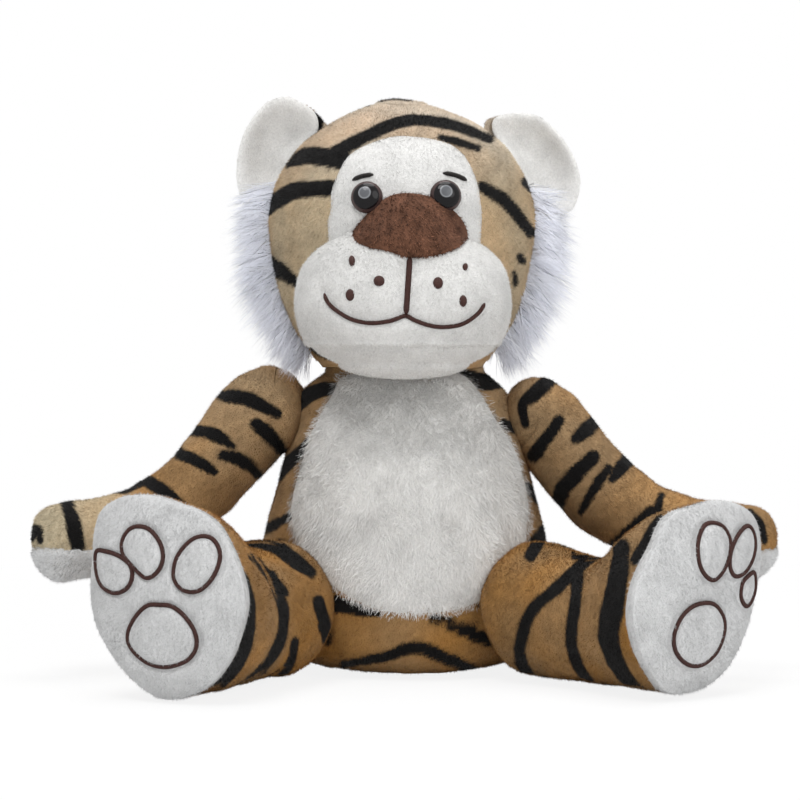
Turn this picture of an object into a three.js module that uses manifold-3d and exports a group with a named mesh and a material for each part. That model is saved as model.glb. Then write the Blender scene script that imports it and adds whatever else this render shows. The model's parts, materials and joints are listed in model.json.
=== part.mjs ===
// Sitting plush tiger: sewn plush skins over stuffing, in millimetres, +Z up, facing -Y.
// left and right are the tiger's own, so its left side is at +X.
import * as THREE from 'three';
import { mergeVertices } from 'three/addons/utils/BufferGeometryUtils.js';
import Module from 'manifold-3d';

const wasm = await Module();
wasm.setup();
const { Vector3 } = THREE;

// Cloth, seams and clearances
const cloth = 2.4;
const seamGap = 0.3;
const fillGap = 0.45;
const overrun = 12;
const flatCut = 0.5;

// Torso: rises from the seat to each level, then the widest half sizes at the hips
const seatRise = 26;
const hipRise = 24;
const waistRise = 30;
const chestRise = 23.6;
const collarRise = 13;
const neckRise = 8;
const neckDome = 16;
const neckRadius = 27;
const neckSquareShare = 1.1;
const hipHalfWidth = 59;
const hipFront = 51;
const hipBack = 46;

// Belly panel, an ellipse seen from the front
const bellyLift = 26;
const bellyHalfWidth = 48;
const bellyHalfHeight = 49;

// Head ball
const headRise = 58;
const headBack = 4;
const headHalfWidth = 54;
const headHalfDepth = 52;
const headHalfHeight = 55;

// White face panel, two half ellipses seen from the front
const faceLift = 3;
const faceHalfWidth = 31;
const faceRise = 36;
const faceDrop = 26;

// Muzzle and chin
const muzzleDrop = 30.5;
const muzzleForward = 43;
const muzzleHalfWidth = 43.5;
const muzzleHalfDepth = 33;
const muzzleHalfHeight = 31;
const chinSeamDrop = 21;

// Nose pad
const noseRise = 29;
const noseHalfWidth = 22;
const noseHalfHeight = 13;
const noseHalfDepth = 11;
const noseForward = 66;
const noseTaperShare = 0.3;

// Safety eyes and their lock washers
const eyeSpacing = 31;
const eyeLift = 12;
const eyeRadius = 6.2;
const eyeDome = 4.4;
const eyePostRadius = 1.8;
const eyePostLength = 10;
const washerRadius = 6;
const washerThickness = 1.4;

// Ears
const earRimShare = 0.82;
const earRimPlaneShare = 0.32;
const earHalfWidth = 18.5;
const earLength = 34;
const earThickness = 11;
const earHollow = 4.6;
const earRootRadius = 3;
const earRootLength = 27;
const earTiltDeg = 52;
const earRootStandoff = 1.4;

// Cheek ruffs, crescents on the sides of the head
const ruffReach = 9;
const ruffHalfThickness = 8;
const ruffTopDeg = 8;
const ruffBottomDeg = -58;

// Arms
const shoulderSpread = 59.5;
const shoulderDrop = 9.6;
const armRadius = 18.5;
const leftElbowOut = 35;
const rightElbowOut = 40;
const elbowDrop = 36;
const pawOut = 80;
const pawDrop = 51;
const pawForward = 30;
const elbowRadius = 16.5;
const pawRadius = 17;
const elbowForward = 9;
const wristPawShare = 0.82;
const wristElbowShare = 0.08;
const pawCap = 13;
const palmDrop = 3;
const palmReach = 17;

// Legs
const hipSpread = 55;
const hipForward = 38;
const thighHeight = 31;
const thighRadius = 29;
const legLength = 85;
const leftSplayDeg = 44;
const rightSplayDeg = 26;
const footHalfWidth = 32;
const footTop = 44;
const footCap = 6;
const soleDepth = 6;

// Tail
const tailRadius = 8.5;
const tailRoot = 48;
const tailRootHeight = 16;
const tailLength = 76;
const tailTipLength = 22;

// Seat bean bag, low in the torso
const bagHalfWidth = 34;
const bagHalfHeight = 11;
const bagDepthShare = 0.8;

// Colours from the photograph
const tan = 0xb98f60;
const black = 0x17151a;
const white = 0xe9e5df;
const furWhite = 0xe4e6f0;
const brown = 0x4a3029;
const filling = 0xf2f0ea;

// How round each swollen form is drawn
const bodySides = 26;
const bodyRings = 10;
const limbSides = 20;
const limbRings = 9;
const innerSides = 12;
const innerRings = 6;
const tailSides = 8;
const headSides = 16;
const headRings = 8;

// Plain helpers

const rad = THREE.MathUtils.degToRad;

function material(name, color, roughness = 0.95) {
  return new THREE.MeshStandardMaterial({ name, color, roughness, metalness: 0 });
}

function solidOf(geometry) {
  const bare = geometry.clone();
  bare.deleteAttribute('normal');
  bare.deleteAttribute('uv');
  const merged = mergeVertices(bare, 1e-5);
  const corners = merged.index.array;
  const kept = [];
  for (let i = 0; i < corners.length; i += 3) {
    const [a, b, c] = corners.slice(i, i + 3);
    if (a !== b && b !== c && a !== c) kept.push(a, b, c);
  }
  return new wasm.Manifold(new wasm.Mesh({
    numProp: 3,
    vertProperties: new Float32Array(merged.attributes.position.array),
    triVerts: new Uint32Array(kept),
  }));
}

function meshOf(name, solid, paint) {
  const raw = solid.getMesh();
  const geometry = new THREE.BufferGeometry();
  geometry.setAttribute('position', new THREE.BufferAttribute(raw.vertProperties, 3));
  geometry.setIndex(new THREE.BufferAttribute(raw.triVerts, 1));
  geometry.computeVertexNormals();
  const mesh = new THREE.Mesh(geometry, paint);
  mesh.name = name;
  return mesh;
}

// Moves a geometry so that it stands at a place, turned about X, then Y, then Z
function placed(geometry, at, turn = [0, 0, 0]) {
  const spin = new THREE.Matrix4().makeRotationFromEuler(new THREE.Euler(...turn, 'ZYX'));
  return geometry.applyMatrix4(spin.setPosition(at));
}

function ball(halfX, halfY, halfZ, at, sides, rings) {
  const geometry = new THREE.SphereGeometry(1, sides, rings).rotateX(Math.PI / 2);
  return solidOf(placed(geometry.scale(halfX, halfY, halfZ), at));
}

function rod(radius, length, at, turn, sides = limbSides) {
  return solidOf(placed(new THREE.CylinderGeometry(radius, radius, length, sides), at, turn));
}

function slab(sizeX, sizeY, sizeZ, at, turn) {
  return solidOf(placed(new THREE.BoxGeometry(sizeX, sizeY, sizeZ), at, turn));
}

// Joins rings of points into one closed skin with a point at each end
function skinOf(rings, startPole, endPole) {
  const sides = rings[0].length;
  const points = [startPole, ...rings.flat(), endPole];
  const index = [];
  const at = (ring, side) => 1 + ring * sides + (side % sides);
  for (let side = 0; side < sides; side += 1) {
    index.push(0, at(0, side + 1), at(0, side));
    index.push(points.length - 1, at(rings.length - 1, side), at(rings.length - 1, side + 1));
    for (let ring = 0; ring + 1 < rings.length; ring += 1) {
      index.push(at(ring, side), at(ring, side + 1), at(ring + 1, side + 1));
      index.push(at(ring, side), at(ring + 1, side + 1), at(ring + 1, side));
    }
  }
  const geometry = new THREE.BufferGeometry().setFromPoints(points);
  geometry.setIndex(index);
  return solidOf(geometry);
}

// A form that swells and tapers along a path. Each station holds its place on the path and
// four radii: right, up, left and down of the path. Both ends close with rounded caps.
function swell(form, inset, sides, rings) {
  const { stations, across, startCap, endCap, startShare = 1, endShare = 1 } = form;
  const path = new THREE.CatmullRomCurve3(stations.map((s) => s.at));
  const widths = new THREE.CatmullRomCurve3(
    stations.map((s) => new Vector3(s.right, s.left ?? s.right, s.up)));
  const downs = new THREE.CatmullRomCurve3(
    stations.map((s) => new Vector3(s.down ?? s.up, 0, 0)));
  const capRings = Math.max(3, Math.round(rings / 3));
  const ringAt = (t, shift, scale) => {
    const tangent = path.getTangent(t);
    const side = across.clone().addScaledVector(tangent, -across.dot(tangent)).normalize();
    const rise = new Vector3().crossVectors(tangent, side);
    const width = widths.getPoint(t);
    const down = downs.getPoint(t).x;
    const centre = path.getPoint(t).addScaledVector(tangent, shift);
    return Array.from({ length: sides }, (_, k) => {
      const angle = (2 * Math.PI * k) / sides;
      const reachX = (Math.cos(angle) > 0 ? width.x : width.y) - inset;
      const reachZ = (Math.sin(angle) > 0 ? width.z : down) - inset;
      return centre.clone()
        .addScaledVector(side, Math.cos(angle) * reachX * scale)
        .addScaledVector(rise, Math.sin(angle) * reachZ * scale);
    });
  };
  const list = [];
  for (let k = 1; k < capRings; k += 1) {
    const turn = (Math.PI / 2) * (k / capRings);
    const shift = -(startCap - inset) * Math.cos(turn) ** startShare;
    list.push(ringAt(0, shift, Math.sin(turn) ** startShare));
  }
  for (let k = 0; k <= rings; k += 1) list.push(ringAt(k / rings, 0, 1));
  for (let k = capRings - 1; k > 0; k -= 1) {
    const turn = (Math.PI / 2) * (k / capRings);
    const shift = (endCap - inset) * Math.cos(turn) ** endShare;
    list.push(ringAt(1, shift, Math.sin(turn) ** endShare));
  }
  const start = path.getPoint(0).addScaledVector(path.getTangent(0), inset - startCap);
  const end = path.getPoint(1).addScaledVector(path.getTangent(1), endCap - inset);
  return skinOf(list, start, end);
}

// Heights that follow from the rises

const hipHeight = seatRise + hipRise;
const waistHeight = hipHeight + waistRise;
const chestHeight = waistHeight + chestRise;
const collarHeight = chestHeight + collarRise;
const neckHeight = collarHeight + neckRise;
const bellyCentreHeight = hipHeight + bellyLift;
const shoulderHeight = collarHeight - shoulderDrop;
const headHeight = neckHeight + headRise;
const faceHeight = headHeight + faceLift;
const eyeHeight = headHeight + eyeLift;
const muzzleHeight = headHeight - muzzleDrop;
const chinSeamHeight = muzzleHeight - chinSeamDrop;
const noseHeight = muzzleHeight + noseRise;

// Torso

const hips = { width: hipHalfWidth, front: hipFront, back: hipBack };
const torsoShares = [
  [seatRise, 0.96, 0.97, 0.95],
  [hipHeight, 1, 1, 1],
  [waistHeight, 0.88, 0.94, 0.9],
  [chestHeight, 0.77, 0.74, 0.74],
  [collarHeight, 0.74, 0.6, 0.66],
];

const torsoForm = {
  stations: [
    ...torsoShares.map(([height, width, front, back]) => ({
      at: new Vector3(0, 0, height),
      right: hips.width * width, up: hips.back * back, down: hips.front * front,
    })),
    { at: new Vector3(0, 0, neckHeight), right: neckRadius, up: neckRadius, down: neckRadius },
  ],
  across: new Vector3(1, 0, 0),
  startCap: seatRise + flatCut,
  endCap: neckDome,
  startShare: 0.75,
  endShare: 0.75,
};

const hipPoint = (side) => new Vector3(side * hipSpread, -hipForward, thighHeight);
const shoulderPoint = (side) => new Vector3(side * shoulderSpread, 0, shoulderHeight);
const tailPoint = new Vector3(0, tailRoot, tailRootHeight);

// Round seats that the ball ends of the limbs and the tail sit in
function limbSeats(extra, sides = limbSides) {
  // Flats of the seat clear the corners of the ball
  const roundUp = 1 / Math.cos(Math.PI / sides) ** 2;
  const seat = (radius, at) => {
    const reach = (radius + extra) * roundUp;
    return ball(reach, reach, reach, at, sides, sides / 2);
  };
  return [-1, 1].flatMap((side) => [
    seat(thighRadius, hipPoint(side)),
    seat(armRadius, shoulderPoint(side)),
  ]).concat(seat(tailRadius, tailPoint))
    .reduce((all, next) => all.add(next));
}

// A straight column with an elliptical outline seen from the front, from y = 0 to the front
function frontColumn(halfWidth, rise, drop, height, trim) {
  const outline = new THREE.Shape();
  outline.absellipse(0, 0, halfWidth - trim, rise - trim, 0, Math.PI, false);
  outline.absellipse(0, 0, halfWidth - trim, drop - trim, Math.PI, 2 * Math.PI, false);
  const depth = headHalfDepth + muzzleForward;
  const column = new THREE.ExtrudeGeometry(outline, { depth, bevelEnabled: false, curveSegments: 12 });
  return solidOf(placed(column, new Vector3(0, 0, height), [Math.PI / 2, 0, 0]));
}

const belly = (trim) =>
  frontColumn(bellyHalfWidth, bellyHalfHeight, bellyHalfHeight, bellyCentreHeight, trim);

// A low box that takes off everything under the flat that the tiger sits on
const under = slab(hipHalfWidth * 8, hipHalfWidth * 8, overrun,
  new Vector3(0, 0, -overrun / 2), [0, 0, 0]);

// The bag lies on the seat's cloth, in a pocket of the stuffing that is open below
const bagHeight = cloth + 2 * fillGap + bagHalfHeight;

function seatBag(extra) {
  const width = bagHalfWidth + extra;
  return ball(width, width * bagDepthShare, bagHalfHeight + extra,
    new Vector3(0, 0, bagHeight), limbSides, innerRings + 2);
}

function bagPocket() {
  const width = bagHalfWidth + fillGap;
  const column = new THREE.CylinderGeometry(1, 1, 1, limbSides).rotateX(Math.PI / 2);
  column.scale(width, width * bagDepthShare, bagHeight);
  return seatBag(fillGap).add(solidOf(placed(column, new Vector3(0, 0, bagHeight / 2))));
}

function makeTorso() {
  const outer = swell(torsoForm, 0, bodySides, bodyRings).subtract(limbSeats(seamGap));
  const inner = swell(torsoForm, cloth, innerSides, innerRings)
    .subtract(limbSeats(seamGap + cloth, innerSides));
  const shell = outer.subtract(inner).subtract(under);
  const filled = swell(torsoForm, cloth + fillGap, innerSides, innerRings)
    .subtract(limbSeats(seamGap + cloth + fillGap, innerSides));
  return {
    skin: shell.subtract(belly(0)),
    panel: shell.intersect(belly(seamGap)),
    stuffing: filled.subtract(bagPocket()),
  };
}

// Space that the torso's collar needs as the head turns round the neck's upright axis
function neckClearance() {
  const widest = (station) => Math.max(station.right, station.up, station.down) + seamGap;
  const profile = [new THREE.Vector2(0, chestHeight - overrun)];
  profile.push(new THREE.Vector2(widest(torsoForm.stations[3]), chestHeight - overrun));
  for (const station of torsoForm.stations.slice(3)) {
    profile.push(new THREE.Vector2(widest(station), station.at.z + seamGap));
  }
  const steps = 6;
  for (let k = steps - 1; k >= 0; k -= 1) {
    const turn = (Math.PI / 2) * (k / steps);
    profile.push(new THREE.Vector2(
      k ? (neckRadius + 2 * seamGap) * Math.sin(turn) ** torsoForm.endShare : 0,
      neckHeight + (neckDome + 2 * seamGap) * Math.cos(turn) ** torsoForm.endShare));
  }
  return solidOf(new THREE.LatheGeometry(profile, bodySides).rotateX(Math.PI / 2));
}

// Head

const headCentre = new Vector3(0, -headBack, headHeight);

function headBall(inset, sides = bodySides, rings = bodyRings) {
  return ball(headHalfWidth - inset, headHalfDepth - inset, headHalfHeight - inset,
    headCentre, sides, rings);
}

const face = (trim) => frontColumn(faceHalfWidth, faceRise, faceDrop, faceHeight, trim);

// Where an eye sits on the head ball, and the way it looks
function eyeSeat(side) {
  const x = (side * eyeSpacing) / 2;
  const z = eyeHeight - headHeight;
  const rest = 1 - (x / headHalfWidth) ** 2 - (z / headHalfHeight) ** 2;
  const at = new Vector3(x, -headHalfDepth * Math.sqrt(rest), z);
  const look = new Vector3(
    at.x / headHalfWidth ** 2, at.y / headHalfDepth ** 2, at.z / headHalfHeight ** 2).normalize();
  return { at: at.add(headCentre), look };
}

function alongEye(side, geometry, forward) {
  const { at, look } = eyeSeat(side);
  const turn = new THREE.Quaternion().setFromUnitVectors(new Vector3(0, 1, 0), look);
  geometry.applyQuaternion(turn);
  const there = at.clone().addScaledVector(look, forward);
  return solidOf(geometry.translate(there.x, there.y, there.z));
}

// The dome stands on the cloth and its post runs through the cloth into the stuffing
function makeEye(side) {
  const arc = 6;
  const profile = [new THREE.Vector2(0, -eyePostLength), new THREE.Vector2(eyePostRadius, -eyePostLength)];
  profile.push(new THREE.Vector2(eyePostRadius, 0));
  for (let k = 0; k < arc; k += 1) {
    const turn = (Math.PI / 2) * (k / arc);
    profile.push(new THREE.Vector2(eyeRadius * Math.cos(turn), eyeDome * Math.sin(turn)));
  }
  profile.push(new THREE.Vector2(0, eyeDome));
  return alongEye(side, new THREE.LatheGeometry(profile, innerSides), seamGap);
}

function makeWasher(side) {
  const ring = new THREE.LatheGeometry([
    new THREE.Vector2(eyePostRadius + seamGap, 0), new THREE.Vector2(washerRadius, 0),
    new THREE.Vector2(washerRadius, washerThickness),
    new THREE.Vector2(eyePostRadius + seamGap, washerThickness),
    new THREE.Vector2(eyePostRadius + seamGap, 0),
  ], innerSides);
  return alongEye(side, ring, -cloth - seamGap - washerThickness);
}

// The cloth lies flat where the washer presses on it
function washerSeat(side) {
  const radius = washerRadius + seamGap;
  const seat = new THREE.CylinderGeometry(radius, radius, eyePostLength, innerSides);
  return alongEye(side, seat, -cloth - eyePostLength / 2);
}

function eyeHole(side) {
  const hole = new THREE.CylinderGeometry(
    eyePostRadius + seamGap, eyePostRadius + seamGap, 3 * eyePostLength, innerSides);
  return alongEye(side, hole, 0);
}

function washerPocket(side) {
  const radius = washerRadius + fillGap;
  const depth = eyePostLength + cloth;
  const pocket = new THREE.CylinderGeometry(radius, radius, 2 * depth, innerSides);
  return alongEye(side, pocket, fillGap + seamGap);
}

// Ears, made upright at the origin with the root along X and the hollow facing -Y

const earAngle = rad(earTiltDeg);

function earBlade(trim) {
  const blade = ball(earHalfWidth - trim, earThickness / 2 - trim, earLength / 2 + 2 * earRootRadius - trim,
    new Vector3(0, 0, earLength / 2 - 2 * earRootRadius), limbSides, limbRings);
  const below = slab(earLength * 2, earLength * 2, earLength,
    new Vector3(0, 0, -earLength / 2), [0, 0, 0]);
  return blade.subtract(below);
}

function earDish(trim) {
  return ball((earHalfWidth * earRimShare) - trim, earHollow * 2 - trim,
    (earLength / 2) * earRimShare - trim,
    new Vector3(0, -earThickness / 2 - earHollow / 2, earLength / 2),
    innerSides, innerRings);
}

function toEarSeat(solid, side) {
  const reach = earRootStandoff;
  const x = side * (headHalfWidth + reach) * Math.sin(earAngle);
  const z = headHeight + (headHalfHeight + reach) * Math.cos(earAngle);
  return solid.rotate([0, (side * earAngle * 180) / Math.PI, 0]).translate([x, -headBack, z]);
}

function makeEar(side) {
  const root = rod(earRootRadius, earRootLength, new Vector3(), [0, 0, Math.PI / 2], innerSides);
  const liningThickness = cloth / 2;
  const back = earBlade(0).add(root).subtract(earDish(0));
  const lining = earDish(seamGap).subtract(earDish(seamGap + liningThickness))
    .intersect(earBlade(-overrun).subtract(frontOfEar()));
  return { back: toEarSeat(back, side), lining: toEarSeat(lining, side) };
}

// Everything in front of the ear's rim
function frontOfEar() {
  const depth = earLength * 2;
  return slab(depth, depth, depth * 2,
    new Vector3(0, -depth / 2 - earThickness * earRimPlaneShare, 0), [0, 0, 0]);
}

function earGrooves() {
  const radius = earRootRadius + seamGap;
  const groove = rod(radius, earRootLength + 2 * seamGap, new Vector3(), [0, 0, Math.PI / 2]);
  return toEarSeat(groove, 1).add(toEarSeat(groove, -1));
}

// Head skin, face panel and stuffing

function makeHead() {
  const holes = eyeHole(1).add(eyeHole(-1)).add(washerSeat(1)).add(washerSeat(-1));
  const inner = headBall(cloth, headSides, headRings)
    .subtract(toEarSeat(earRootWall(cloth), 1)).subtract(toEarSeat(earRootWall(cloth), -1))
    .subtract(neckRecess(cloth));
  const shell = headBall(0).subtract(inner).subtract(neckClearance())
    .subtract(earGrooves()).subtract(holes);
  const stuffing = headBall(cloth + fillGap, headSides, headRings)
    .subtract(toEarSeat(earRootWall(cloth + fillGap), 1))
    .subtract(toEarSeat(earRootWall(cloth + fillGap), -1))
    .subtract(neckRecess(cloth + fillGap))
    .subtract(washerPocket(1)).subtract(washerPocket(-1));
  return { skin: shell.subtract(face(0)), panel: shell.intersect(face(seamGap)), stuffing };
}

// Cloth stands round each ear root and over the neck, so the space inside the head goes round it
function earRootWall(wall) {
  const radius = earRootRadius + seamGap + wall;
  return rod(radius, earRootLength + 2 * wall, new Vector3(), [0, 0, Math.PI / 2], innerSides);
}

function neckRecess(wall) {
  const radius = neckRadius + wall + seamGap;
  const rise = neckDome + wall + 2 * seamGap;
  return ball(radius * neckSquareShare, radius * neckSquareShare, rise,
    new Vector3(0, 0, neckHeight), headSides, headRings);
}

// Muzzle, chin and nose

function muzzleBall(trim, sides = limbSides, rings = bodyRings) {
  return ball(muzzleHalfWidth - trim, muzzleHalfDepth - trim, muzzleHalfHeight - trim,
    new Vector3(0, -muzzleForward, muzzleHeight), sides, rings);
}

function makeMuzzle() {
  const width = 2 * (muzzleHalfWidth + overrun);
  const lid = (top, sign) => slab(width, width, width,
    new Vector3(0, -muzzleForward, top + (sign * width) / 2), [0, 0, 0]);
  const behind = headBall(-seamGap).add(neckClearance());
  const shell = muzzleBall(0).subtract(muzzleBall(cloth, headSides, headRings)).subtract(behind);
  const stuffing = muzzleBall(cloth + fillGap, headSides, headRings)
    .subtract(headBall(-seamGap - fillGap)).subtract(neckClearance());
  return {
    muzzle: shell.subtract(lid(chinSeamHeight, -1)),
    chin: shell.intersect(lid(chinSeamHeight - seamGap, -1)),
    stuffing,
  };
}

// A rounded pad, wider below than above
function makeNose() {
  const geometry = new THREE.SphereGeometry(1, limbSides, limbSides / 2).rotateX(Math.PI / 2);
  const place = geometry.attributes.position;
  for (let i = 0; i < place.count; i += 1) {
    place.setX(i, place.getX(i) * (1 - noseTaperShare * place.getZ(i)));
  }
  geometry.scale(noseHalfWidth, noseHalfDepth, noseHalfHeight);
  return solidOf(placed(geometry, new Vector3(0, -noseForward, noseHeight)))
    .subtract(muzzleBall(-seamGap)).subtract(headBall(-seamGap));
}

function makeRuff(side) {
  const steps = 4;
  const reach = headHalfWidth + ruffReach * 0.5;
  const stations = Array.from({ length: steps + 1 }, (_, k) => {
    const angle = rad(ruffTopDeg + ((ruffBottomDeg - ruffTopDeg) * k) / steps);
    const fullness = Math.sin((Math.PI * (k + 1)) / (steps + 2)) ** 0.5;
    return {
      at: new Vector3(side * reach * Math.cos(angle), -headBack, headHeight + reach * Math.sin(angle)),
      right: ruffHalfThickness * fullness, up: ruffReach * fullness,
    };
  });
  const form = { stations, across: new Vector3(0, side, 0), startCap: ruffReach, endCap: ruffReach };
  return swell(form, 0, innerSides, innerRings).subtract(headBall(-seamGap))
    .subtract(neckClearance());
}

// Limbs

function acrossOf(direction) {
  return new Vector3(0, 0, 1).cross(direction).normalize();
}

function armForm(side) {
  const shoulder = shoulderPoint(side);
  const along = (out, forward, drop, right, up) => ({
    at: shoulder.clone().add(new Vector3(side * out, -forward, -drop)), right, up,
  });
  const elbow = [side > 0 ? leftElbowOut : rightElbowOut, elbowForward, elbowDrop];
  const paw = [pawOut, pawForward, pawDrop];
  const wrist = paw.map((value, k) => value * wristPawShare + elbow[k] * wristElbowShare);
  return {
    stations: [
      along(0, 0, 0, armRadius, armRadius),
      along(...elbow, elbowRadius, elbowRadius),
      along(...wrist, elbowRadius, elbowRadius),
      along(...paw, pawRadius, pawRadius),
    ],
    across: acrossOf(new Vector3(side, 0, 0)),
    startCap: armRadius, endCap: pawCap,
  };
}

function makeArm(side) {
  const form = armForm(side);
  const shell = swell(form, 0, limbSides, limbRings)
    .subtract(swell(form, cloth, innerSides, innerRings));
  const palm = (trim) => {
    const size = 2 * (pawOut + pawCap);
    const inner = shoulderSpread + pawOut - palmReach + trim;
    const top = shoulderHeight - pawDrop - palmDrop - trim;
    return slab(size, size, size,
      new Vector3(side * (inner + size / 2), 0, top - size / 2), [0, 0, 0]);
  };
  return {
    skin: shell.subtract(palm(0)),
    palm: shell.intersect(palm(seamGap)),
    stuffing: swell(form, cloth + fillGap, innerSides, innerRings),
  };
}

function legDirection(side) {
  const splay = rad(side > 0 ? leftSplayDeg : rightSplayDeg);
  return new Vector3(side * Math.sin(splay), -Math.cos(splay), 0);
}

function legForm(side) {
  const direction = legDirection(side);
  const along = (share, right, up, down) => ({
    at: hipPoint(side).addScaledVector(direction, share * legLength), right, up, down,
  });
  const heel = thighHeight + flatCut;
  return {
    stations: [
      along(0, thighRadius, thighRadius, thighRadius),
      along(0.45, thighRadius * 0.97, thighRadius * 0.95, thighRadius),
      along(0.72, footHalfWidth, footTop * 0.75, heel * 0.98),
      along(0.9, footHalfWidth, footTop, heel),
      along(1 - footCap / legLength, footHalfWidth * 0.96, footTop * 0.97, heel * 0.98),
    ],
    across: acrossOf(direction),
    startCap: thighRadius, endCap: footCap, endShare: 0.8,
  };
}

function makeLeg(side) {
  const form = legForm(side);
  const direction = legDirection(side);
  const turn = Math.atan2(direction.y, direction.x);
  const shell = swell(form, 0, limbSides, limbRings)
    .subtract(swell(form, cloth, innerSides, innerRings)).subtract(under);
  const sole = (trim) => {
    const size = 2 * legLength;
    const middle = legLength - soleDepth + trim + size / 2;
    const at = hipPoint(side).addScaledVector(direction, middle);
    return slab(size, size, size, at, [0, 0, turn]);
  };
  return {
    skin: shell.subtract(sole(0)),
    sole: shell.intersect(sole(seamGap)),
    stuffing: swell(form, cloth + fillGap, innerSides, innerRings),
  };
}

function makeTail() {
  const along = (share, rise, radius) => ({
    at: tailPoint.clone().add(new Vector3(0, share * tailLength, -rise)), right: radius, up: radius,
  });
  const lie = tailRootHeight - tailRadius - seamGap;
  const form = {
    stations: [along(0, 0, tailRadius), along(0.4, lie * 0.8, tailRadius * 0.97),
      along(0.75, lie, tailRadius * 0.95), along(1, lie, tailRadius * 0.92)],
    across: acrossOf(new Vector3(0, 1, 0)), startCap: tailRadius, endCap: tailRadius,
  };
  const shell = swell(form, 0, innerSides, innerRings + 1)
    .subtract(swell(form, cloth, tailSides, innerRings));
  const tip = (trim) => slab(tailLength, tailLength, tailLength,
    new Vector3(0, tailRoot + tailLength - tailTipLength + trim + tailLength / 2, 0), [0, 0, 0]);
  return {
    skin: shell.subtract(tip(0)),
    tip: shell.intersect(tip(seamGap)),
    stuffing: swell(form, cloth + fillGap, tailSides, innerRings),
  };
}

// The whole tiger

function bodyGroup(...meshes) {
  return new THREE.Group().add(...meshes);
}

const plush = material('tan_plush', tan);
const whitePlush = material('white_plush', white);
const longFur = material('white_long_fur', furWhite, 0.9);
const nosePlush = material('brown_plush', brown);
const blackPlush = material('black_plush', black);
const stuffingFill = material('stuffing', filling);
const eyePlastic = material('eye_plastic', black, 0.12);
const washerPlastic = material('washer_plastic', filling, 0.5);

const tiger = new THREE.Group();

const torso = makeTorso();
tiger.add(bodyGroup(
  meshOf('torso_skin', torso.skin, plush),
  meshOf('belly_panel', torso.panel, whitePlush),
  meshOf('torso_stuffing', torso.stuffing, stuffingFill),
  meshOf('seat_bean_bag', seatBag(0), stuffingFill)));

const head = makeHead();
const muzzle = makeMuzzle();
const headGroup = bodyGroup(
  meshOf('head_skin', head.skin, plush),
  meshOf('face_panel', head.panel, whitePlush),
  meshOf('head_stuffing', head.stuffing, stuffingFill),
  meshOf('muzzle', muzzle.muzzle, whitePlush),
  meshOf('chin_panel', muzzle.chin, whitePlush),
  meshOf('muzzle_stuffing', muzzle.stuffing, stuffingFill),
  meshOf('nose', makeNose(), nosePlush));
tiger.add(headGroup);

const tail = makeTail();
tiger.add(bodyGroup(
  meshOf('tail_skin', tail.skin, plush),
  meshOf('tail_tip', tail.tip, blackPlush),
  meshOf('tail_stuffing', tail.stuffing, stuffingFill)));

for (const [hand, side] of [['left', 1], ['right', -1]]) {
  headGroup.add(
    meshOf(`eye_${hand}`, makeEye(side), eyePlastic),
    meshOf(`eye_washer_${hand}`, makeWasher(side), washerPlastic),
    meshOf(`cheek_ruff_${hand}`, makeRuff(side), longFur));
  const ear = makeEar(side);
  headGroup.add(bodyGroup(
    meshOf(`ear_back_${hand}`, ear.back, plush),
    meshOf(`ear_lining_${hand}`, ear.lining, whitePlush)));
  const arm = makeArm(side);
  tiger.add(bodyGroup(
    meshOf(`arm_${hand}`, arm.skin, plush),
    meshOf(`palm_${hand}`, arm.palm, whitePlush),
    meshOf(`arm_stuffing_${hand}`, arm.stuffing, stuffingFill)));
  const leg = makeLeg(side);
  tiger.add(bodyGroup(
    meshOf(`leg_${hand}`, leg.skin, plush),
    meshOf(`sole_${hand}`, leg.sole, whitePlush),
    meshOf(`leg_stuffing_${hand}`, leg.stuffing, stuffingFill)));
}

export default tiger;
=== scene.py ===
"""Dresses the sitting plush tiger: striped short-pile skins, white panels, cheek fur, thread and eyes."""
import json
import math

import bpy
import numpy as np
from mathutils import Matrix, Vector
from mathutils.bvhtree import BVHTree


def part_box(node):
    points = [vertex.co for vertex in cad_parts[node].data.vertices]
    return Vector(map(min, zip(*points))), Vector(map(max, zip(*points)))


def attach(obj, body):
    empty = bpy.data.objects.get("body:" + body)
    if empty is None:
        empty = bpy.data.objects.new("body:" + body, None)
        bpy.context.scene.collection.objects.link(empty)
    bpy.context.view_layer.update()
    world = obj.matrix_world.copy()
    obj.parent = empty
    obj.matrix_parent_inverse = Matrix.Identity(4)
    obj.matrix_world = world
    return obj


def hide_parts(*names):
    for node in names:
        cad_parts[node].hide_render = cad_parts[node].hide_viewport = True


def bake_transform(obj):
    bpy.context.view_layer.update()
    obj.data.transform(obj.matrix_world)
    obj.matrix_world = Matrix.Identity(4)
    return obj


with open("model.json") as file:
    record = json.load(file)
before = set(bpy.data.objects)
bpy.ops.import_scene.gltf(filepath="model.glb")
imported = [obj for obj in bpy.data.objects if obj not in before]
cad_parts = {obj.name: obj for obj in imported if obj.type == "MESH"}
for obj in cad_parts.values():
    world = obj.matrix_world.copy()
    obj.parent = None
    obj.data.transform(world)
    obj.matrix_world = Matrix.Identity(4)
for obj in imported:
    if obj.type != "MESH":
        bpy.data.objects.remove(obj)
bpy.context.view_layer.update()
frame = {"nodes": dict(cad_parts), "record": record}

bl_info = {
    "name": "Plush Tiger",
    "version": (1, 0, 0),
    "blender": (4, 5, 0),
    "location": "View3D > Sidebar > Tiger",
    "description": "Builds the sewn plush tiger piece by piece around its frame",
    "category": "Object",
}

MM = 0.001


# Sizes and colours that a user may change

def length(label, about, value):
    """A length that a user may change, given in millimetres."""
    return bpy.props.FloatProperty(name=label, description=about, default=value * MM, unit="LENGTH",
                                   precision=5)


def colour(label, about, value):
    """A linear colour that a user may change."""
    return bpy.props.FloatVectorProperty(name=label, description=about, default=value, size=3,
                                         subtype="COLOR", min=0, max=1)


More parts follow.
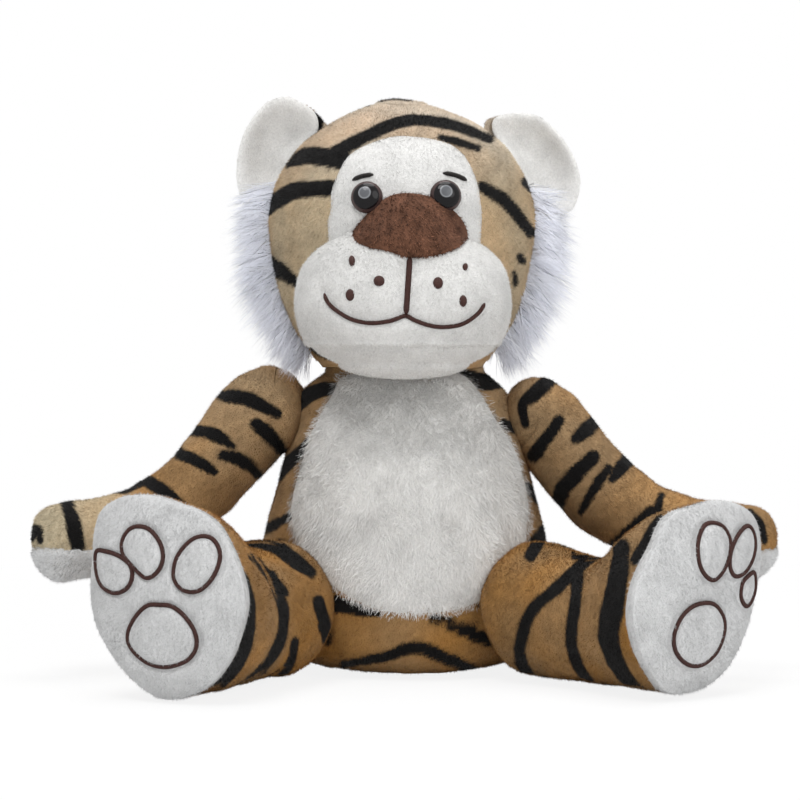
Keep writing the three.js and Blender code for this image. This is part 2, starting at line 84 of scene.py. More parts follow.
class TigerCoat(bpy.types.PropertyGroup):
    """Pile and colours of the cloth."""
    tan: colour("Tan", "Ground colour of the striped plush", (0.395, 0.262, 0.138))
    stripe: colour("Stripe", "Colour of the stripes", (0.007, 0.0065, 0.0065))
    white: colour("White", "Colour of the belly, muzzle, soles and ear linings", (0.76, 0.755, 0.74))
    ruff: colour("Cheek fur", "Colour of the long fur on the cheeks", (0.80, 0.815, 0.885))
    nose: colour("Nose", "Colour of the nose pad", (0.13, 0.059, 0.035))
    pile: length("Pile", "Length of the short pile", 1.35)
    belly_pile: length("Belly pile", "Length of the pile on the belly", 3.4)
    ruff_pile: length("Cheek pile", "Length of the locks on the cheeks", 19.5)
    strand: length("Strand width", "Width of a strand of pile at its root", 0.30)
    density: bpy.props.FloatProperty(name="Density", description="Strands on a square millimetre",
                                     default=3.4, min=0.1, max=8)


class TigerThread(bpy.types.PropertyGroup):
    """Embroidery and eyes."""
    thread: colour("Thread", "Colour of the mouth, toe and brow stitches", (0.050, 0.018, 0.014))
    brow: colour("Brow thread", "Colour of the brows", (0.02, 0.017, 0.016))
    thickness: length("Thread width", "Width of a line of satin stitch", 1.8)
    eye: colour("Eye", "Colour of the safety eyes", (0.006, 0.005, 0.006))
    # The disc colour is a painted reflection of a lamp, a grey glint on each eye.
    glint: colour("Glint", "Colour of the disc in the middle of the eye", (0.12, 0.125, 0.135))


class TigerStage(bpy.types.PropertyGroup):
    """Camera and light."""
    distance: length("Distance", "How far the camera stands from the tiger", 1200)
    elevation: bpy.props.FloatProperty(name="Elevation", description="How far the camera looks down",
                                       default=math.radians(1.5), subtype="ANGLE")
    scale: bpy.props.FloatProperty(name="Scale", description="Photograph pixels to a millimetre",
                                   default=2.4, min=0.1)
    middle: length("Middle", "Height that the camera looks at", 112.1)
    aside: length("Aside", "How far the camera looks to the tiger's right", 2.1)
    floor: colour("Floor", "Colour of the floor and backdrop", (0.93, 0.93, 0.93))


PHOTO = 800  # width and height of the photograph in pixels
SENSOR = 36  # width of the camera's film in millimetres


def coat():
    """The settings of the cloth."""
    return bpy.context.scene.tiger_coat


def thread():
    """The settings of the embroidery and the eyes."""
    return bpy.context.scene.tiger_thread


def stage():
    """The settings of the camera and the floor."""
    return bpy.context.scene.tiger_stage


# Camera geometry, shared by the camera and by what is placed by the photograph

def camera_axes():
    """Position and the right, up and forward directions of the camera, in millimetres."""
    s = stage()
    lean = s.elevation
    forward = np.array([0, math.cos(lean), -math.sin(lean)])
    up = np.array([0, math.sin(lean), math.cos(lean)])
    target = np.array([-s.aside, 0, s.middle]) / MM
    return target - forward * s.distance / MM, np.array([1.0, 0, 0]), up, forward


def to_pixels(points):
    """Photograph pixels of points: the perspective picture of each point in the camera's plane."""
    place, right, up, forward = camera_axes()
    ray = np.asarray(points) - place
    depth = ray @ forward
    focal = stage().scale * stage().distance / MM
    return np.stack([PHOTO / 2 + focal * (ray @ right) / depth,
                     PHOTO / 2 - focal * (ray @ up) / depth], -1)


def pixel_rays(pixels):
    """Direction from the camera through each pixel."""
    place, right, up, forward = camera_axes()
    focal = stage().scale * stage().distance / MM
    side, rise = (np.asarray(pixels, float).T - PHOTO / 2) / focal
    ray = forward + side[:, None] * right - rise[:, None] * up
    return place, ray / np.linalg.norm(ray, axis=1)[:, None]


# Frame geometry in millimetres

SIDES = {1: "left", -1: "right"}  # the tiger's own left lies along positive X


def box(node):
    """Low and high corners of a piece of the frame."""
    low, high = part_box(node)
    return np.array(low) / MM, np.array(high) / MM


def pivot(joint):
    """The point about which a joint of the frame turns."""
    row = next(j for j in frame["record"]["behaviour"]["joints"] if j["name"] == joint)
    return np.array(row["pos_m"]) / MM


# Surfaces

def unit(vectors):
    """The vectors at length 1."""
    return vectors / np.maximum(np.linalg.norm(vectors, axis=-1, keepdims=True), 1e-12)


def smooth_through(rows, t):
    """Catmull-Rom curve through the rows at places t from 0 to 1, with straight ends."""
    rows = np.asarray(rows, float)
    full = np.vstack([2 * rows[0] - rows[1], rows, 2 * rows[-1] - rows[-2]])
    x = np.clip(t, 0, 1) * (len(rows) - 1)
    i = np.minimum(x.astype(int), len(rows) - 2)
    f = (x - i)[:, None]
    a, b, c, d = full[i], full[i + 1], full[i + 2], full[i + 3]
    return 0.5 * (2 * b + (c - a) * f + (2 * a - 5 * b + 4 * c - d) * f ** 2
                  + (3 * b - a - 3 * c + d) * f ** 3)


class Form:
    """A closed skin: its points, the triangles between them and a chart of its surface, whose u runs
    round the rings and whose v runs from pole to pole."""

    def __init__(self, rings):
        """Rings of points from pole to pole. The first and last rings close to a point each."""
        self.rows, self.sides = rings.shape[:2]
        self.points = np.vstack([rings[0].mean(0), rings[1:-1].reshape(-1, 3), rings[-1].mean(0)])
        inner = self.rows - 2
        row, side = np.meshgrid(np.arange(inner - 1), np.arange(self.sides), indexing="ij")
        after = (side + 1) % self.sides
        a = 1 + row * self.sides + side
        b = 1 + row * self.sides + after
        quads = np.stack([a, b, b + self.sides, a + self.sides], -1).reshape(-1, 4)
        k = np.arange(self.sides)
        last = 1 + (inner - 1) * self.sides
        start = np.stack([np.zeros_like(k), 1 + (k + 1) % self.sides, 1 + k], -1)
        end = np.stack([np.full_like(k, len(self.points) - 1), last + k, last + (k + 1) % self.sides], -1)
        self.tris = np.vstack([start, quads[:, [0, 1, 2]], quads[:, [0, 2, 3]], end])

        def chart(*corners):
            return np.stack([np.stack(np.broadcast_arrays(u, v), -1) for u, v in corners], -2)

        u0, u1 = side / self.sides, (side + 1) / self.sides
        v0, v1 = (row + 1) / (self.rows - 1), (row + 2) / (self.rows - 1)
        quad_uv = chart((u0, v0), (u1, v0), (u1, v1), (u0, v1)).reshape(-1, 4, 2)
        edge = 1 / (self.rows - 1)
        middle, near, far = (k + 0.5) / self.sides, k / self.sides, (k + 1) / self.sides
        start_uv = chart((middle, 0), (far, edge), (near, edge))
        end_uv = chart((middle, 1), (near, 1 - edge), (far, 1 - edge))
        self.tri_uv = np.concatenate([start_uv, quad_uv[:, [0, 1, 2]], quad_uv[:, [0, 2, 3]], end_uv])

    def normals(self):
        """Unit normal of each point: the sum of the cross products of the faces round it."""
        a, b, c = (self.points[self.tris[:, k]] for k in range(3))
        face = np.cross(b - a, c - a)
        total = np.zeros_like(self.points)
        for k in range(3):
            for axis in range(3):
                total[:, axis] += np.bincount(self.tris[:, k], face[:, axis], len(self.points))
        return unit(total)

    def push(self, amount):
        """Moves each point along its normal by an amount."""
        self.points = self.points + self.normals() * np.asarray(amount)[:, None]
        return self

    def tree(self):
        """The form as a tree of triangles, into which rays are cast."""
        return BVHTree.FromPolygons([tuple(p) for p in self.points], [tuple(t) for t in self.tris.tolist()])


def swell(stations, across, start_cap, end_cap, rings=90, sides=120, start_share=1.0, end_share=1.0):
    """A form that swells and tapers along a path.

    Each station is x, y, z, then the reach to the right, left, up and down of the path. A ring at
    place t stands square to the path, and its outline is cos(a) times the side reach and sin(a) times
    the up or down reach. Each end closes with a cap: a ring at angle g lies cap * cos(g) ** share
    beyond the end and is sin(g) ** share as large.
    """
    stations = np.asarray(stations, float)
    arc = max(8, rings // 4)
    g = np.linspace(0, np.pi / 2, arc, endpoint=False)
    t = np.concatenate([0 * g, np.linspace(0, 1, rings), 0 * g + 1])
    shift = np.concatenate([-start_cap * np.cos(g) ** start_share, np.zeros(rings),
                            (end_cap * np.cos(g) ** end_share)[::-1]])
    scale = np.concatenate([np.sin(g) ** start_share, np.ones(rings), (np.sin(g) ** end_share)[::-1]])
    row = smooth_through(stations, t)
    step = 1e-3
    tangent = unit(smooth_through(stations[:, :3], np.minimum(t + step, 1))
                   - smooth_through(stations[:, :3], np.maximum(t - step, 0)))
    across = np.asarray(across, float)
    side = unit(across - (tangent @ across)[:, None] * tangent)
    rise = np.cross(tangent, side)
    a = np.linspace(0, 2 * np.pi, sides, endpoint=False)
    cos, sin = np.cos(a), np.sin(a)
    reach_side = np.where(cos > 0, row[:, 3:4], row[:, 4:5]) * scale[:, None]
    reach_rise = np.where(sin > 0, row[:, 5:6], row[:, 6:7]) * scale[:, None]
    centre = row[:, :3] + tangent * shift[:, None]
    return Form(centre[:, None] + side[:, None] * (reach_side * cos)[..., None]
                + rise[:, None] * (reach_rise * sin)[..., None])


# Stripes and seams, drawn in photograph pixels as a brush would: x, y and half width at each point

def stroke_reach(pixels, stroke):
    """Distance from each pixel to a stroke, less the stroke's half width there."""
    best = np.full(len(pixels), 1e9)
    for (x0, y0, w0), (x1, y1, w1) in zip(stroke[:-1], stroke[1:]):
        start, run = np.array([x0, y0]), np.array([x1 - x0, y1 - y0])
        t = np.clip((pixels - start) @ run / max(run @ run, 1e-9), 0, 1)
        gap = np.linalg.norm(pixels - start - t[:, None] * run, axis=1)
        best = np.minimum(best, gap - (w0 + t * (w1 - w0)))
    return best


def rounded(stroke, steps=5):
    """The stroke with its corners rounded by a smooth curve through its points."""
    rows = np.asarray(stroke, float)
    if len(rows) < 3:
        return [tuple(r) for r in rows]
    return [tuple(r) for r in smooth_through(rows, np.linspace(0, 1, (len(rows) - 1) * steps + 1))]


def nearest(pixels, strokes):
    """Smallest reach to any of the strokes."""
    best = np.full(len(pixels), 1e9)
    for stroke in strokes:
        best = np.minimum(best, stroke_reach(pixels, rounded(stroke)))
    return best


def inside_share(pixels, outline, soft):
    """1 well inside a closed outline and 0 well outside it, over a soft edge in pixels."""
    ring = rounded([(x, y, 0) for x, y in outline + outline[:1]], 6)
    x, y = pixels.T
    crossings = np.zeros(len(pixels), int)
    for (x0, y0, _), (x1, y1, _) in zip(ring[:-1], ring[1:]):
        if y0 == y1:
            continue
        spans = (y0 > y) != (y1 > y)
        crossings += spans & (x < (x1 - x0) * (y - y0) / (y1 - y0) + x0)
    gap = stroke_reach(pixels, ring)
    signed = np.where(crossings % 2 == 1, gap, -gap)
    return np.clip(0.5 + signed / (2 * soft), 0, 1)


def waves(points, size, seed):
    """Soft random field between -1 and 1: a sum of sines that run in random directions."""
    draw = np.random.default_rng(seed)
    total = np.zeros(len(points))
    for k in range(7):
        direction = unit(draw.normal(size=3)) * (2 * np.pi / size) * (0.6 + 0.25 * k)
        total += np.sin(points @ direction + draw.uniform(0, 6.283)) / (1 + 0.5 * k)
    return total / 2.4


def blend_colours(share, under, over):
    """One colour over another, by a share at each point."""
    return under + share[:, None] * (np.asarray(over) - under)


# Pile: strands scattered over a form and laid along its nap


class Pile:
    """How a cloth's pile stands: length, lean from upright, which way it lies, and how thick it is."""

    def __init__(self, reach, lean=55, nap=(0, 0, -1), density=None, width=None, clump=0.35,
                 segments=1, seed=1, spread=0.35, curl=0.0):
        self.reach, self.lean, self.nap = reach, math.radians(lean), nap
        self.density = coat().density if density is None else density
        self.width = coat().strand / MM if width is None else width
        self.clump, self.segments, self.seed = clump, segments, seed
        self.spread, self.curl = spread, curl


def strand_faces(count, segments):
    """Triangles of strands that have two points at each level and one at the tip."""
    tip = 2 * segments
    band = [corners for low in range(0, tip - 2, 2)
            for corners in ((low, low + 1, low + 3), (low, low + 3, low + 2))]
    band.append((tip - 2, tip - 1, tip))
    first = np.arange(count) * (tip + 1)
    return (first[:, None, None] + np.array(band)).reshape(-1, 3)


def grow(form, pile, keep=None):
    """Strands on a form. Roots are spread over the faces by area. A strand leaves its root along
    normal * cos(lean) + nap * sin(lean), each strand a little off, curls along its nap and narrows to
    its tip. Where keep is given, it is the share of strands that stay at each root."""
    draw = np.random.default_rng(pile.seed)
    a, b, c = (form.points[form.tris[:, k]] for k in range(3))
    area = np.linalg.norm(np.cross(b - a, c - a), axis=1) / 2
    density = pile.density * 1
    count = int(area.sum() * density)
    pick = np.searchsorted(np.cumsum(area), draw.uniform(0, area.sum(), count))
    pick = np.minimum(pick, len(area) - 1)
    r1, r2 = np.sqrt(draw.uniform(size=count)), draw.uniform(size=count)
    weight = np.stack([1 - r1, r1 * (1 - r2), r1 * r2], -1)
    root = np.einsum("nk,nkd->nd", weight, form.points[form.tris[pick]])
    up = unit(np.einsum("nk,nkd->nd", weight, form.normals()[form.tris[pick]]))
    chart = np.einsum("nk,nkd->nd", weight, form.tri_uv[pick])
    if keep is not None:
        stays = keep(root, up) > draw.uniform(size=count)
        root, up, chart = root[stays], up[stays], chart[stays]
        count = len(root)
    nap = np.tile(np.asarray(pile.nap, float), (count, 1))
    swirl = np.stack([waves(root, 16, pile.seed + k) for k in range(3)], -1)
    nap = nap + pile.clump * swirl + pile.spread * draw.normal(size=(count, 3))
    nap = unit(nap - (nap * up).sum(1, keepdims=True) * up)
    lean = pile.lean + 0.22 * draw.normal(size=count)
    reach = pile.reach * draw.uniform(0.65, 1.1, count)
    lay = up * np.cos(lean)[:, None] + nap * np.sin(lean)[:, None]
    side = unit(np.cross(up, nap)) * pile.width / 2
    levels = []
    for k in range(pile.segments + 1):
        f = k / pile.segments
        bend = nap * pile.curl * f * f - up * 0.35 * pile.curl * f * f
        spot = root + (lay * f + bend) * reach[:, None] - up * 0.15 * (1 - f)
        narrow = (1 - f) ** 0.6
        levels += [spot + side * narrow, spot - side * narrow] if k < pile.segments else [spot]
    points = np.stack(levels, 1)
    return {"root": root, "up": up, "chart": chart, "points": points.reshape(-1, 3),
            "tris": strand_faces(count, pile.segments), "per": points.shape[1],
            "shade": draw.normal(size=count)}


def dress(name, form, paint, pile=None, keep=None):
    """One piece of cloth: its skin, painted by a function of place, and the strands on it, painted
    darker at their roots than at their tips as the shade deep in the pile. Colours go in the attribute
    coat, and the chart in the UV map OFBake."""
    points, tris, chart = form.points, form.tris, form.tri_uv
    tint = paint(points, form.normals(), np.zeros(len(points)))
    if pile is not None:
        hair = grow(form, pile, keep)
        per, shade = hair["per"], hair["shade"]
        strand_tint = paint(hair["root"], hair["up"], shade)
        strand_tint = np.clip(strand_tint * (1 + 0.055 * shade[:, None]), 0, 1)
        # Painted shade: a strand runs from 0.90 of its colour at the root, deep in the pile, to 1.06 at its
        # tip.
        levels = np.linspace(0.90, 1.06, per)[None, :, None]
        strand_tint = (strand_tint[:, None] * levels).reshape(-1, 3)
        half = 2e-4  # half the width of a strand on the chart
        offset = np.zeros((per, 2))
        offset[0::2, 0] = half
        offset[1::2, 0] = -half
        offset[:, 1] = np.linspace(-half, half, per)
        strand_uv = (hair["chart"][:, None] + offset).reshape(-1, 2)
        tris = np.vstack([tris, hair["tris"] + len(points)])
        chart = np.concatenate([chart, strand_uv[hair["tris"]]])
        points = np.vstack([points, hair["points"]])
        tint = np.vstack([tint, strand_tint])
    return mesh_piece(name, points, tris, tint, chart)


def mesh_piece(name, points, tris, tint=None, chart=None, normals=None):
    """A mesh object at the origin from points in millimetres and triangles. Where normals are given,
    the surface is lit as if it faced their way, as a strand is lit with the fur around it."""
    if normals is not None:
        a, b, c = (points[tris[:, k]] for k in range(3))
        away = (np.cross(b - a, c - a) * normals[tris[:, 0]]).sum(1) < 0
        tris[away] = tris[away][:, ::-1]
    mesh = bpy.data.meshes.new(name)
    mesh.vertices.add(len(points))
    mesh.vertices.foreach_set("co", (np.asarray(points) * MM).astype(np.float32).ravel())
    mesh.loops.add(3 * len(tris))
    mesh.loops.foreach_set("vertex_index", np.asarray(tris, np.int32).ravel())
    mesh.polygons.add(len(tris))
    mesh.polygons.foreach_set("loop_start", np.arange(0, 3 * len(tris), 3, dtype=np.int32))
    mesh.polygons.foreach_set("use_smooth", np.ones(len(tris), bool))
    mesh.update(calc_edges=True)
    mesh.validate()
    if normals is not None:
        mesh.normals_split_custom_set_from_vertices([tuple(n) for n in normals])
    if tint is not None:
        layer = mesh.color_attributes.new("coat", "FLOAT_COLOR", "POINT")
        rgba = np.concatenate([np.asarray(tint), np.ones((len(tint), 1))], 1)
        layer.data.foreach_set("color", rgba.astype(np.float32).ravel())
    if chart is not None:
        layer = mesh.uv_layers.new(name="OFBake")
        layer.data.foreach_set("uv", np.clip(chart, 0, 1).astype(np.float32).ravel())
    piece = bpy.data.objects.new(name, mesh)
    bpy.context.scene.collection.objects.link(piece)
    return piece


def settle(piece, body, replaced, finish, bend=None):
    """Gives a piece its material and its body, and hides the frame's pieces that it stands for. With a
    bend, it gets no body: its place is baked into its mesh instead."""
    piece.data.materials.append(finish)
    if bend is None:
        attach(piece, body)
    else:
        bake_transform(piece)
    if replaced:
        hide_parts(*replaced)


# Pieces placed by the photograph

def landed(tree, pixels):
    """Where the camera's rays through the pixels land on a form, and the form's normals there."""
    place, rays = pixel_rays(pixels)
    origin = Vector(place)
    hits = [tree.ray_cast(origin, Vector(ray)) for ray in rays]
    guess = np.mean([hit[3] for hit in hits if hit[3] is not None])
    spots = np.array([tuple(hit[0]) if hit[0] is not None
                      else tuple(tree.find_nearest(origin + Vector(ray) * guess)[0])
                      for hit, ray in zip(hits, rays)])
    normals = np.array([tuple(hit[1]) if hit[1] is not None else tuple(-ray)
                        for hit, ray in zip(hits, rays)])
    normals = np.where(((normals * rays).sum(1) > 0)[:, None], -normals, normals)
    return spots, unit(normals)


def closed_ring(outline, sides):
    """Evenly spaced pixels along a closed outline, smoothed through its points."""
    rows = np.asarray(outline, float)
    rows = np.vstack([rows[-2:], rows, rows[:2]])
    fine = smooth_through(rows, np.linspace(1.5 / (len(rows) - 1), 1 - 1.5 / (len(rows) - 1), 1200))
    run = np.concatenate([[0], np.cumsum(np.linalg.norm(np.diff(fine, axis=0), axis=1))])
    goal = np.linspace(0, run[-1], sides, endpoint=False)
    return np.stack([np.interp(goal, run, fine[:, k]) for k in range(2)], -1)


def panel(form, outline, rise, swellness, rings, sides, drop=0.6, thickness=3.0):
    """A panel let into a form. A point at share r of the way from the outline's middle to the outline
    is stood off the form by rise * (1 - r ** swellness) - drop * r ** swellness, and the back of the
    panel lies a thickness deeper."""
    ring = closed_ring(outline, sides)
    r = out_to_rim(rings)
    pixels = ring.mean(0) + r[:, None, None] * (ring - ring.mean(0))
    spots, normals = landed(form.tree(), pixels.reshape(-1, 2))
    soft = normals.reshape(rings, sides, 3)
    for _ in range(6):
        soft = unit(soft + np.roll(soft, 1, 1) + np.roll(soft, -1, 1))
        soft[1:-1] = unit(soft[:-2] + soft[1:-1] + soft[2:])
    lift = rise * (1 - r ** swellness) - drop * r ** swellness
    spots = spots.reshape(rings, sides, 3)
    front = spots + soft * lift[:, None, None]
    back = (spots - soft * (drop + thickness))[::-1][::5]
    return closed_up(front, back)


def out_to_rim(rings):
    """Shares of the way from the middle of a panel to its rim, closer together near the rim."""
    return np.sin(np.linspace(0, np.pi / 2, rings)) ** 0.9


def closed_up(front, back):
    """A form from a front whose first ring is its middle and a back whose last ring is its middle."""
    front[0] = front[0].mean(0)
    back[-1] = back[-1].mean(0)
    return facing_out(Form(np.concatenate([front, back])))


def facing_out(form):
    """Turns a form's faces round if they point inwards, which its signed volume tells."""
    a, b, c = (form.points[form.tris[:, k]] for k in range(3))
    if np.einsum("nd,nd->n", a, np.cross(b, c)).sum() < 0:
        form.tris, form.tri_uv = form.tris[:, ::-1], form.tri_uv[:, ::-1]
    return form


THREAD_PITCH = 0.55  # from one thread of a satin stitch to the next, in millimetres


def stitch_line(tree, stroke, width, height=1.0, closed=False):
    """A line of satin stitch on a form: an oval bead along the line, tapered where it isn't closed.
    Its threads run slantwise across it, so its surface rises and falls with
    sin(2 pi (s / pitch + across / 2)) along its length s."""
    rows = np.asarray(stroke, float)
    if closed:
        fine = closed_ring(rows, 400)
        fine = np.vstack([fine, fine[:1]])
    else:
        fine = smooth_through(rows, np.linspace(0, 1, 300))
    spots, normals = landed(tree, fine)
    for _ in range(4):
        normals[1:-1] = unit(normals[:-2] + normals[1:-1] + normals[2:])
        spots[1:-1] = (spots[:-2] + 2 * spots[1:-1] + spots[2:]) / 4
    run = np.concatenate([[0], np.cumsum(np.linalg.norm(np.diff(spots, axis=0), axis=1))])
    count = max(12, int(run[-1] / (THREAD_PITCH / 4)))
    s = np.linspace(0, run[-1], count)
    path = np.stack([np.interp(s, run, spots[:, k]) for k in range(3)], -1)
    up = unit(np.stack([np.interp(s, run, normals[:, k]) for k in range(3)], -1))
    along = unit(np.gradient(path, axis=0))
    side = unit(np.cross(along, up))
    a = np.linspace(0, 2 * np.pi, 10, endpoint=False)
    ridge = 1 + 0.10 * np.sin(2 * np.pi * (s[:, None] / THREAD_PITCH + np.cos(a)[None] / 2))
    taper = np.ones(count) if closed else np.clip(np.minimum(s, run[-1] - s) / width, 0, 1) ** 0.5
    taper[[0, -1]] = 0
    half = width / 2 * taper[:, None] * ridge
    sink = 0.1
    rings = (path[:, None] + side[:, None] * (half * np.cos(a))[..., None]
             + up[:, None] * (height * taper[:, None] * ridge * np.sin(a) - sink)[..., None])
    return facing_out(Form(rings))


def stitch_dot(tree, centre, across, tall, rings=9, sides=28):
    """A satin stitched dot: a dome of height 1.3 * sqrt(1 - r ** 2) at share r of the way out, whose
    threads lie side by side across it."""
    a = np.linspace(0, 2 * np.pi, sides, endpoint=False)
    r = np.linspace(0, 1, rings)
    pixels = np.asarray(centre) + r[:, None, None] * np.stack([np.cos(a) * across / 2,
                                                               np.sin(a) * tall / 2], -1)
    spots, normals = landed(tree, pixels.reshape(-1, 2))
    up = unit(normals.mean(0))
    spots = spots.reshape(rings, sides, 3)
    threads = 0.05 * np.sin(pixels[..., 1] * 4.0)
    front = spots + up * ((1.3 * np.sqrt(1 - r ** 2))[:, None] + threads)[..., None]
    back = (spots - up * 0.6)[::-1][::4]
    return closed_up(front, back)


def loose_form(points, tris, chart):
    """A form of points and triangles that don't lie in rings."""
    form = Form.__new__(Form)
    form.points, form.tris, form.tri_uv = points, tris, chart
    return form


def joined(forms):
    """Several forms as one set of points, triangles and charts."""
    points, tris, charts, start = [], [], [], 0
    for form in forms:
        points.append(form.points)
        tris.append(form.tris + start)
        charts.append(form.tri_uv)
        start += len(form.points)
    return np.vstack(points), np.vstack(tris), np.concatenate(charts)


LOCK_SEGMENTS = 4
LOCK_POINTS = 2 * LOCK_SEGMENTS + 1  # points of one strand of a lock


def locks(roots, ups, lay, reach, seed, strands):
    """Long fur in locks. The strands of a lock start round its root and draw together towards its
    tip: at share f along, a strand is root + offset * (1 - f) ** 0.7 * (1 - 0.35 * f) + lay * reach * f,
    waves a little to its side, and droops by 0.18 of its reach times f squared."""
    spread, width = 1.9, 0.25
    draw = np.random.default_rng(seed)
    count = len(roots)
    offset = draw.normal(size=(count, strands, 3)) * spread
    offset -= (offset * ups[:, None]).sum(-1, keepdims=True) * ups[:, None] * 0.8
    long = reach[:, None] * draw.uniform(0.68, 1.05, (count, strands))
    fray = 0.10 * draw.normal(size=(count, strands, 3))
    aim = unit(lay[:, None] + fray)
    side = unit(np.cross(aim, draw.normal(size=(count, strands, 3)))) * width / 2
    wavy = unit(np.cross(aim, ups[:, None] + 0.01)) * draw.normal(size=(count, strands, 1)) * 0.7
    rows = []
    for k in range(LOCK_SEGMENTS + 1):
        f = k / LOCK_SEGMENTS
        spot = (roots[:, None] + offset * (1 - f) ** 0.7 * (1 - 0.35 * f) + aim * (long * f)[..., None]
                + wavy * math.sin(f * 5) - np.array([0, 0, 1]) * (0.18 * long * f * f)[..., None])
        half = side * (1 - 0.6 * f)
        rows += [spot + half, spot - half] if k < LOCK_SEGMENTS else [spot]
    points = np.stack(rows, 2).reshape(-1, 3)
    shade = np.repeat(draw.normal(size=count * strands), LOCK_POINTS)
    tip = np.tile(np.repeat(np.linspace(0, 1, LOCK_SEGMENTS + 1), 2)[:LOCK_POINTS], count * strands)
    return points, strand_faces(count * strands, LOCK_SEGMENTS), shade, tip


# Stripes, seams and outlines, in photograph pixels

HEAD_STRIPES = [
    [(336, 153, 6), (365, 137, 5.5), (394, 124, 4.5), (414, 120, 4.3), (438, 122, 4.3), (462, 128, 4),
     (489, 139, 3)],
    [(440, 138, 2), (458, 142, 3), (477, 148, 2.5)],
    [(288, 166, 1), (302, 157, 6), (318, 156, 8), (343, 160, 7.5)],
    [(264, 212, 4.5), (278, 200, 7), (297, 190, 7), (333, 188, 7)],
    [(268, 258, 4), (280, 270, 6.5), (296, 281, 4)],
    [(310, 344, 2), (320, 352, 2.5), (329, 358, 1)],
    [(482, 187, 5), (504, 200, 5.5), (518, 216, 5), (530, 232, 4)],
    [(526, 181, 4), (533, 188, 4)],
    [(520, 256, 2), (522, 260, 2.5)],
    [(514, 272, 0.5), (515, 283, 2)],
]
HEAD_CREST = [[(306, 139, 2), (325, 123, 4), (346, 112, 4), (370, 105, 2.5)],
              [(382, 101, 2), (398, 98, 4), (410, 102, 2)]]
TORSO_STRIPES = [
    [(294, 414, 2), (303, 400, 6), (318, 391, 6), (333, 388, 5)],
    [(276, 478, 4), (290, 462, 5), (310, 442, 4)],
    [(268, 528, 4), (290, 516, 3)],
    [(280, 546, 6), (300, 562, 6), (316, 575, 3)],
    [(314, 596, 8), (335, 603, 7), (358, 609, 5), (378, 613, 2)],
    [(321, 607, 4), (326, 640, 4)],
    [(480, 604, 2), (497, 600, 4.5), (518, 599, 6)],
    [(458, 372, 4), (484, 382, 7), (512, 380, 4)],
    [(504, 424, 4), (528, 434, 5)],
    [(527, 486, 3), (537, 498, 4)],
    [(434, 618, 4), (461, 627, 6), (481, 637, 6), (504, 640, 5)],
    [(342, 664, 2), (384, 657, 4), (416, 647, 5), (441, 656, 5.5), (480, 672, 3)],
    [(347, 673, 2), (400, 677, 2), (429, 678, 3), (486, 674, 2)],
    [(545, 530, 5), (525, 556, 7)],
]
RIGHT_ARM_STRIPES = [
    [(222, 396, 4), (240, 397, 6), (256, 402, 6), (277, 414, 4)],
    [(189, 430, 4), (206, 432, 5), (222, 438, 5), (233, 446, 2)],
    [(168, 449, 4), (184, 455, 5), (201, 463, 5), (214, 472, 3)],
    [(223, 455, 4), (240, 459, 6), (258, 473, 4)],
    [(256, 424, 5), (270, 436, 6), (286, 455, 4)],
    [(141, 478, 5), (163, 490, 5), (186, 506, 2)],
    [(115, 490, 2), (126, 487, 5), (140, 483, 4)],
    [(66, 500, 5), (73, 522, 6), (78, 546, 6)],
    [(31, 536, 4), (38, 528, 3), (41, 541, 2)],
]
LEFT_ARM_STRIPES = [
    [(550, 380, 6), (534, 394, 6), (523, 404, 4), (525, 424, 3)],
    [(559, 420, 4), (548, 436, 5), (534, 455, 6)],
    [(595, 421, 6), (586, 430, 6), (576, 438, 4)],
    [(593, 457, 6), (576, 474, 7), (562, 490, 7), (558, 508, 4)],
    [(608, 468, 3), (594, 488, 4), (581, 512, 2)],
    [(630, 457, 6), (621, 468, 6), (612, 479, 3)],
    [(650, 511, 4), (634, 527, 5), (611, 546, 3)],
    [(661, 495, 2), (656, 511, 4)],
    [(660, 520, 7), (650, 552, 6)],
    [(749, 513, 3), (758, 523, 4), (764, 541, 2)],
]
BELLY_EDGE = [(400, 368), (450, 368), (474, 380), (497, 416), (516, 446), (529, 488), (531, 520),
              (524, 560), (504, 589), (470, 609), (430, 616), (384, 614), (345, 598), (310, 570),
              (294, 545), (288, 512), (294, 478), (308, 434), (330, 392), (345, 372)]
FACE_EDGE = [(394, 134), (421, 135), (438, 138), (453, 143), (467, 155), (478, 177), (483, 201),
             (484, 225), (478, 255), (440, 270), (370, 270), (332, 255), (325, 225), (328, 211),
             (329, 191), (336, 172), (346, 155), (365, 143)]
NOSE_EDGE = [(407, 193), (390, 196), (375, 206), (361, 221), (353, 232), (356, 241), (368, 247),
             (387, 251), (404, 256), (418, 257), (438, 255), (457, 248), (467, 239), (466, 228),
             (459, 216), (443, 202), (428, 196)]
RIGHT_SOLE_EDGE = [(95, 530), (103, 509), (120, 498), (138, 495), (158, 497), (178, 504), (199, 512),
                   (218, 527), (232, 553), (242, 581), (245, 605), (239, 633), (228, 661), (209, 685),
                   (185, 697), (164, 699), (143, 688), (119, 664), (100, 633), (93, 610), (91, 586),
                   (93, 558)]
LEFT_SOLE_EDGE = [(669, 518), (697, 506), (720, 501), (741, 506), (755, 520), (760, 545), (758, 575),
                  (752, 607), (743, 637), (727, 667), (707, 685), (684, 693), (665, 691), (652, 674),
                  (640, 651), (633, 623), (634, 598), (641, 574), (654, 548)]
RIGHT_TOES = [
    [(96.5, 552), (106, 551.5), (119, 556), (130, 565), (132, 578), (126, 589), (114, 593), (102, 586),
     (96.5, 572)],
    [(128, 531), (138, 526.5), (150, 530), (160, 543), (163, 558), (158, 571), (147, 578), (135, 569),
     (124, 556), (122, 543)],
    [(186, 545), (198, 537), (211, 538), (219, 549), (219, 563), (211, 580), (198, 591), (183, 590),
     (174, 578), (176, 560)],
    [(147, 606), (160, 605), (173, 607), (186, 618), (195, 633), (196, 648), (186, 661), (165, 667),
     (146, 662), (131, 648), (128, 634), (135, 618)],
]
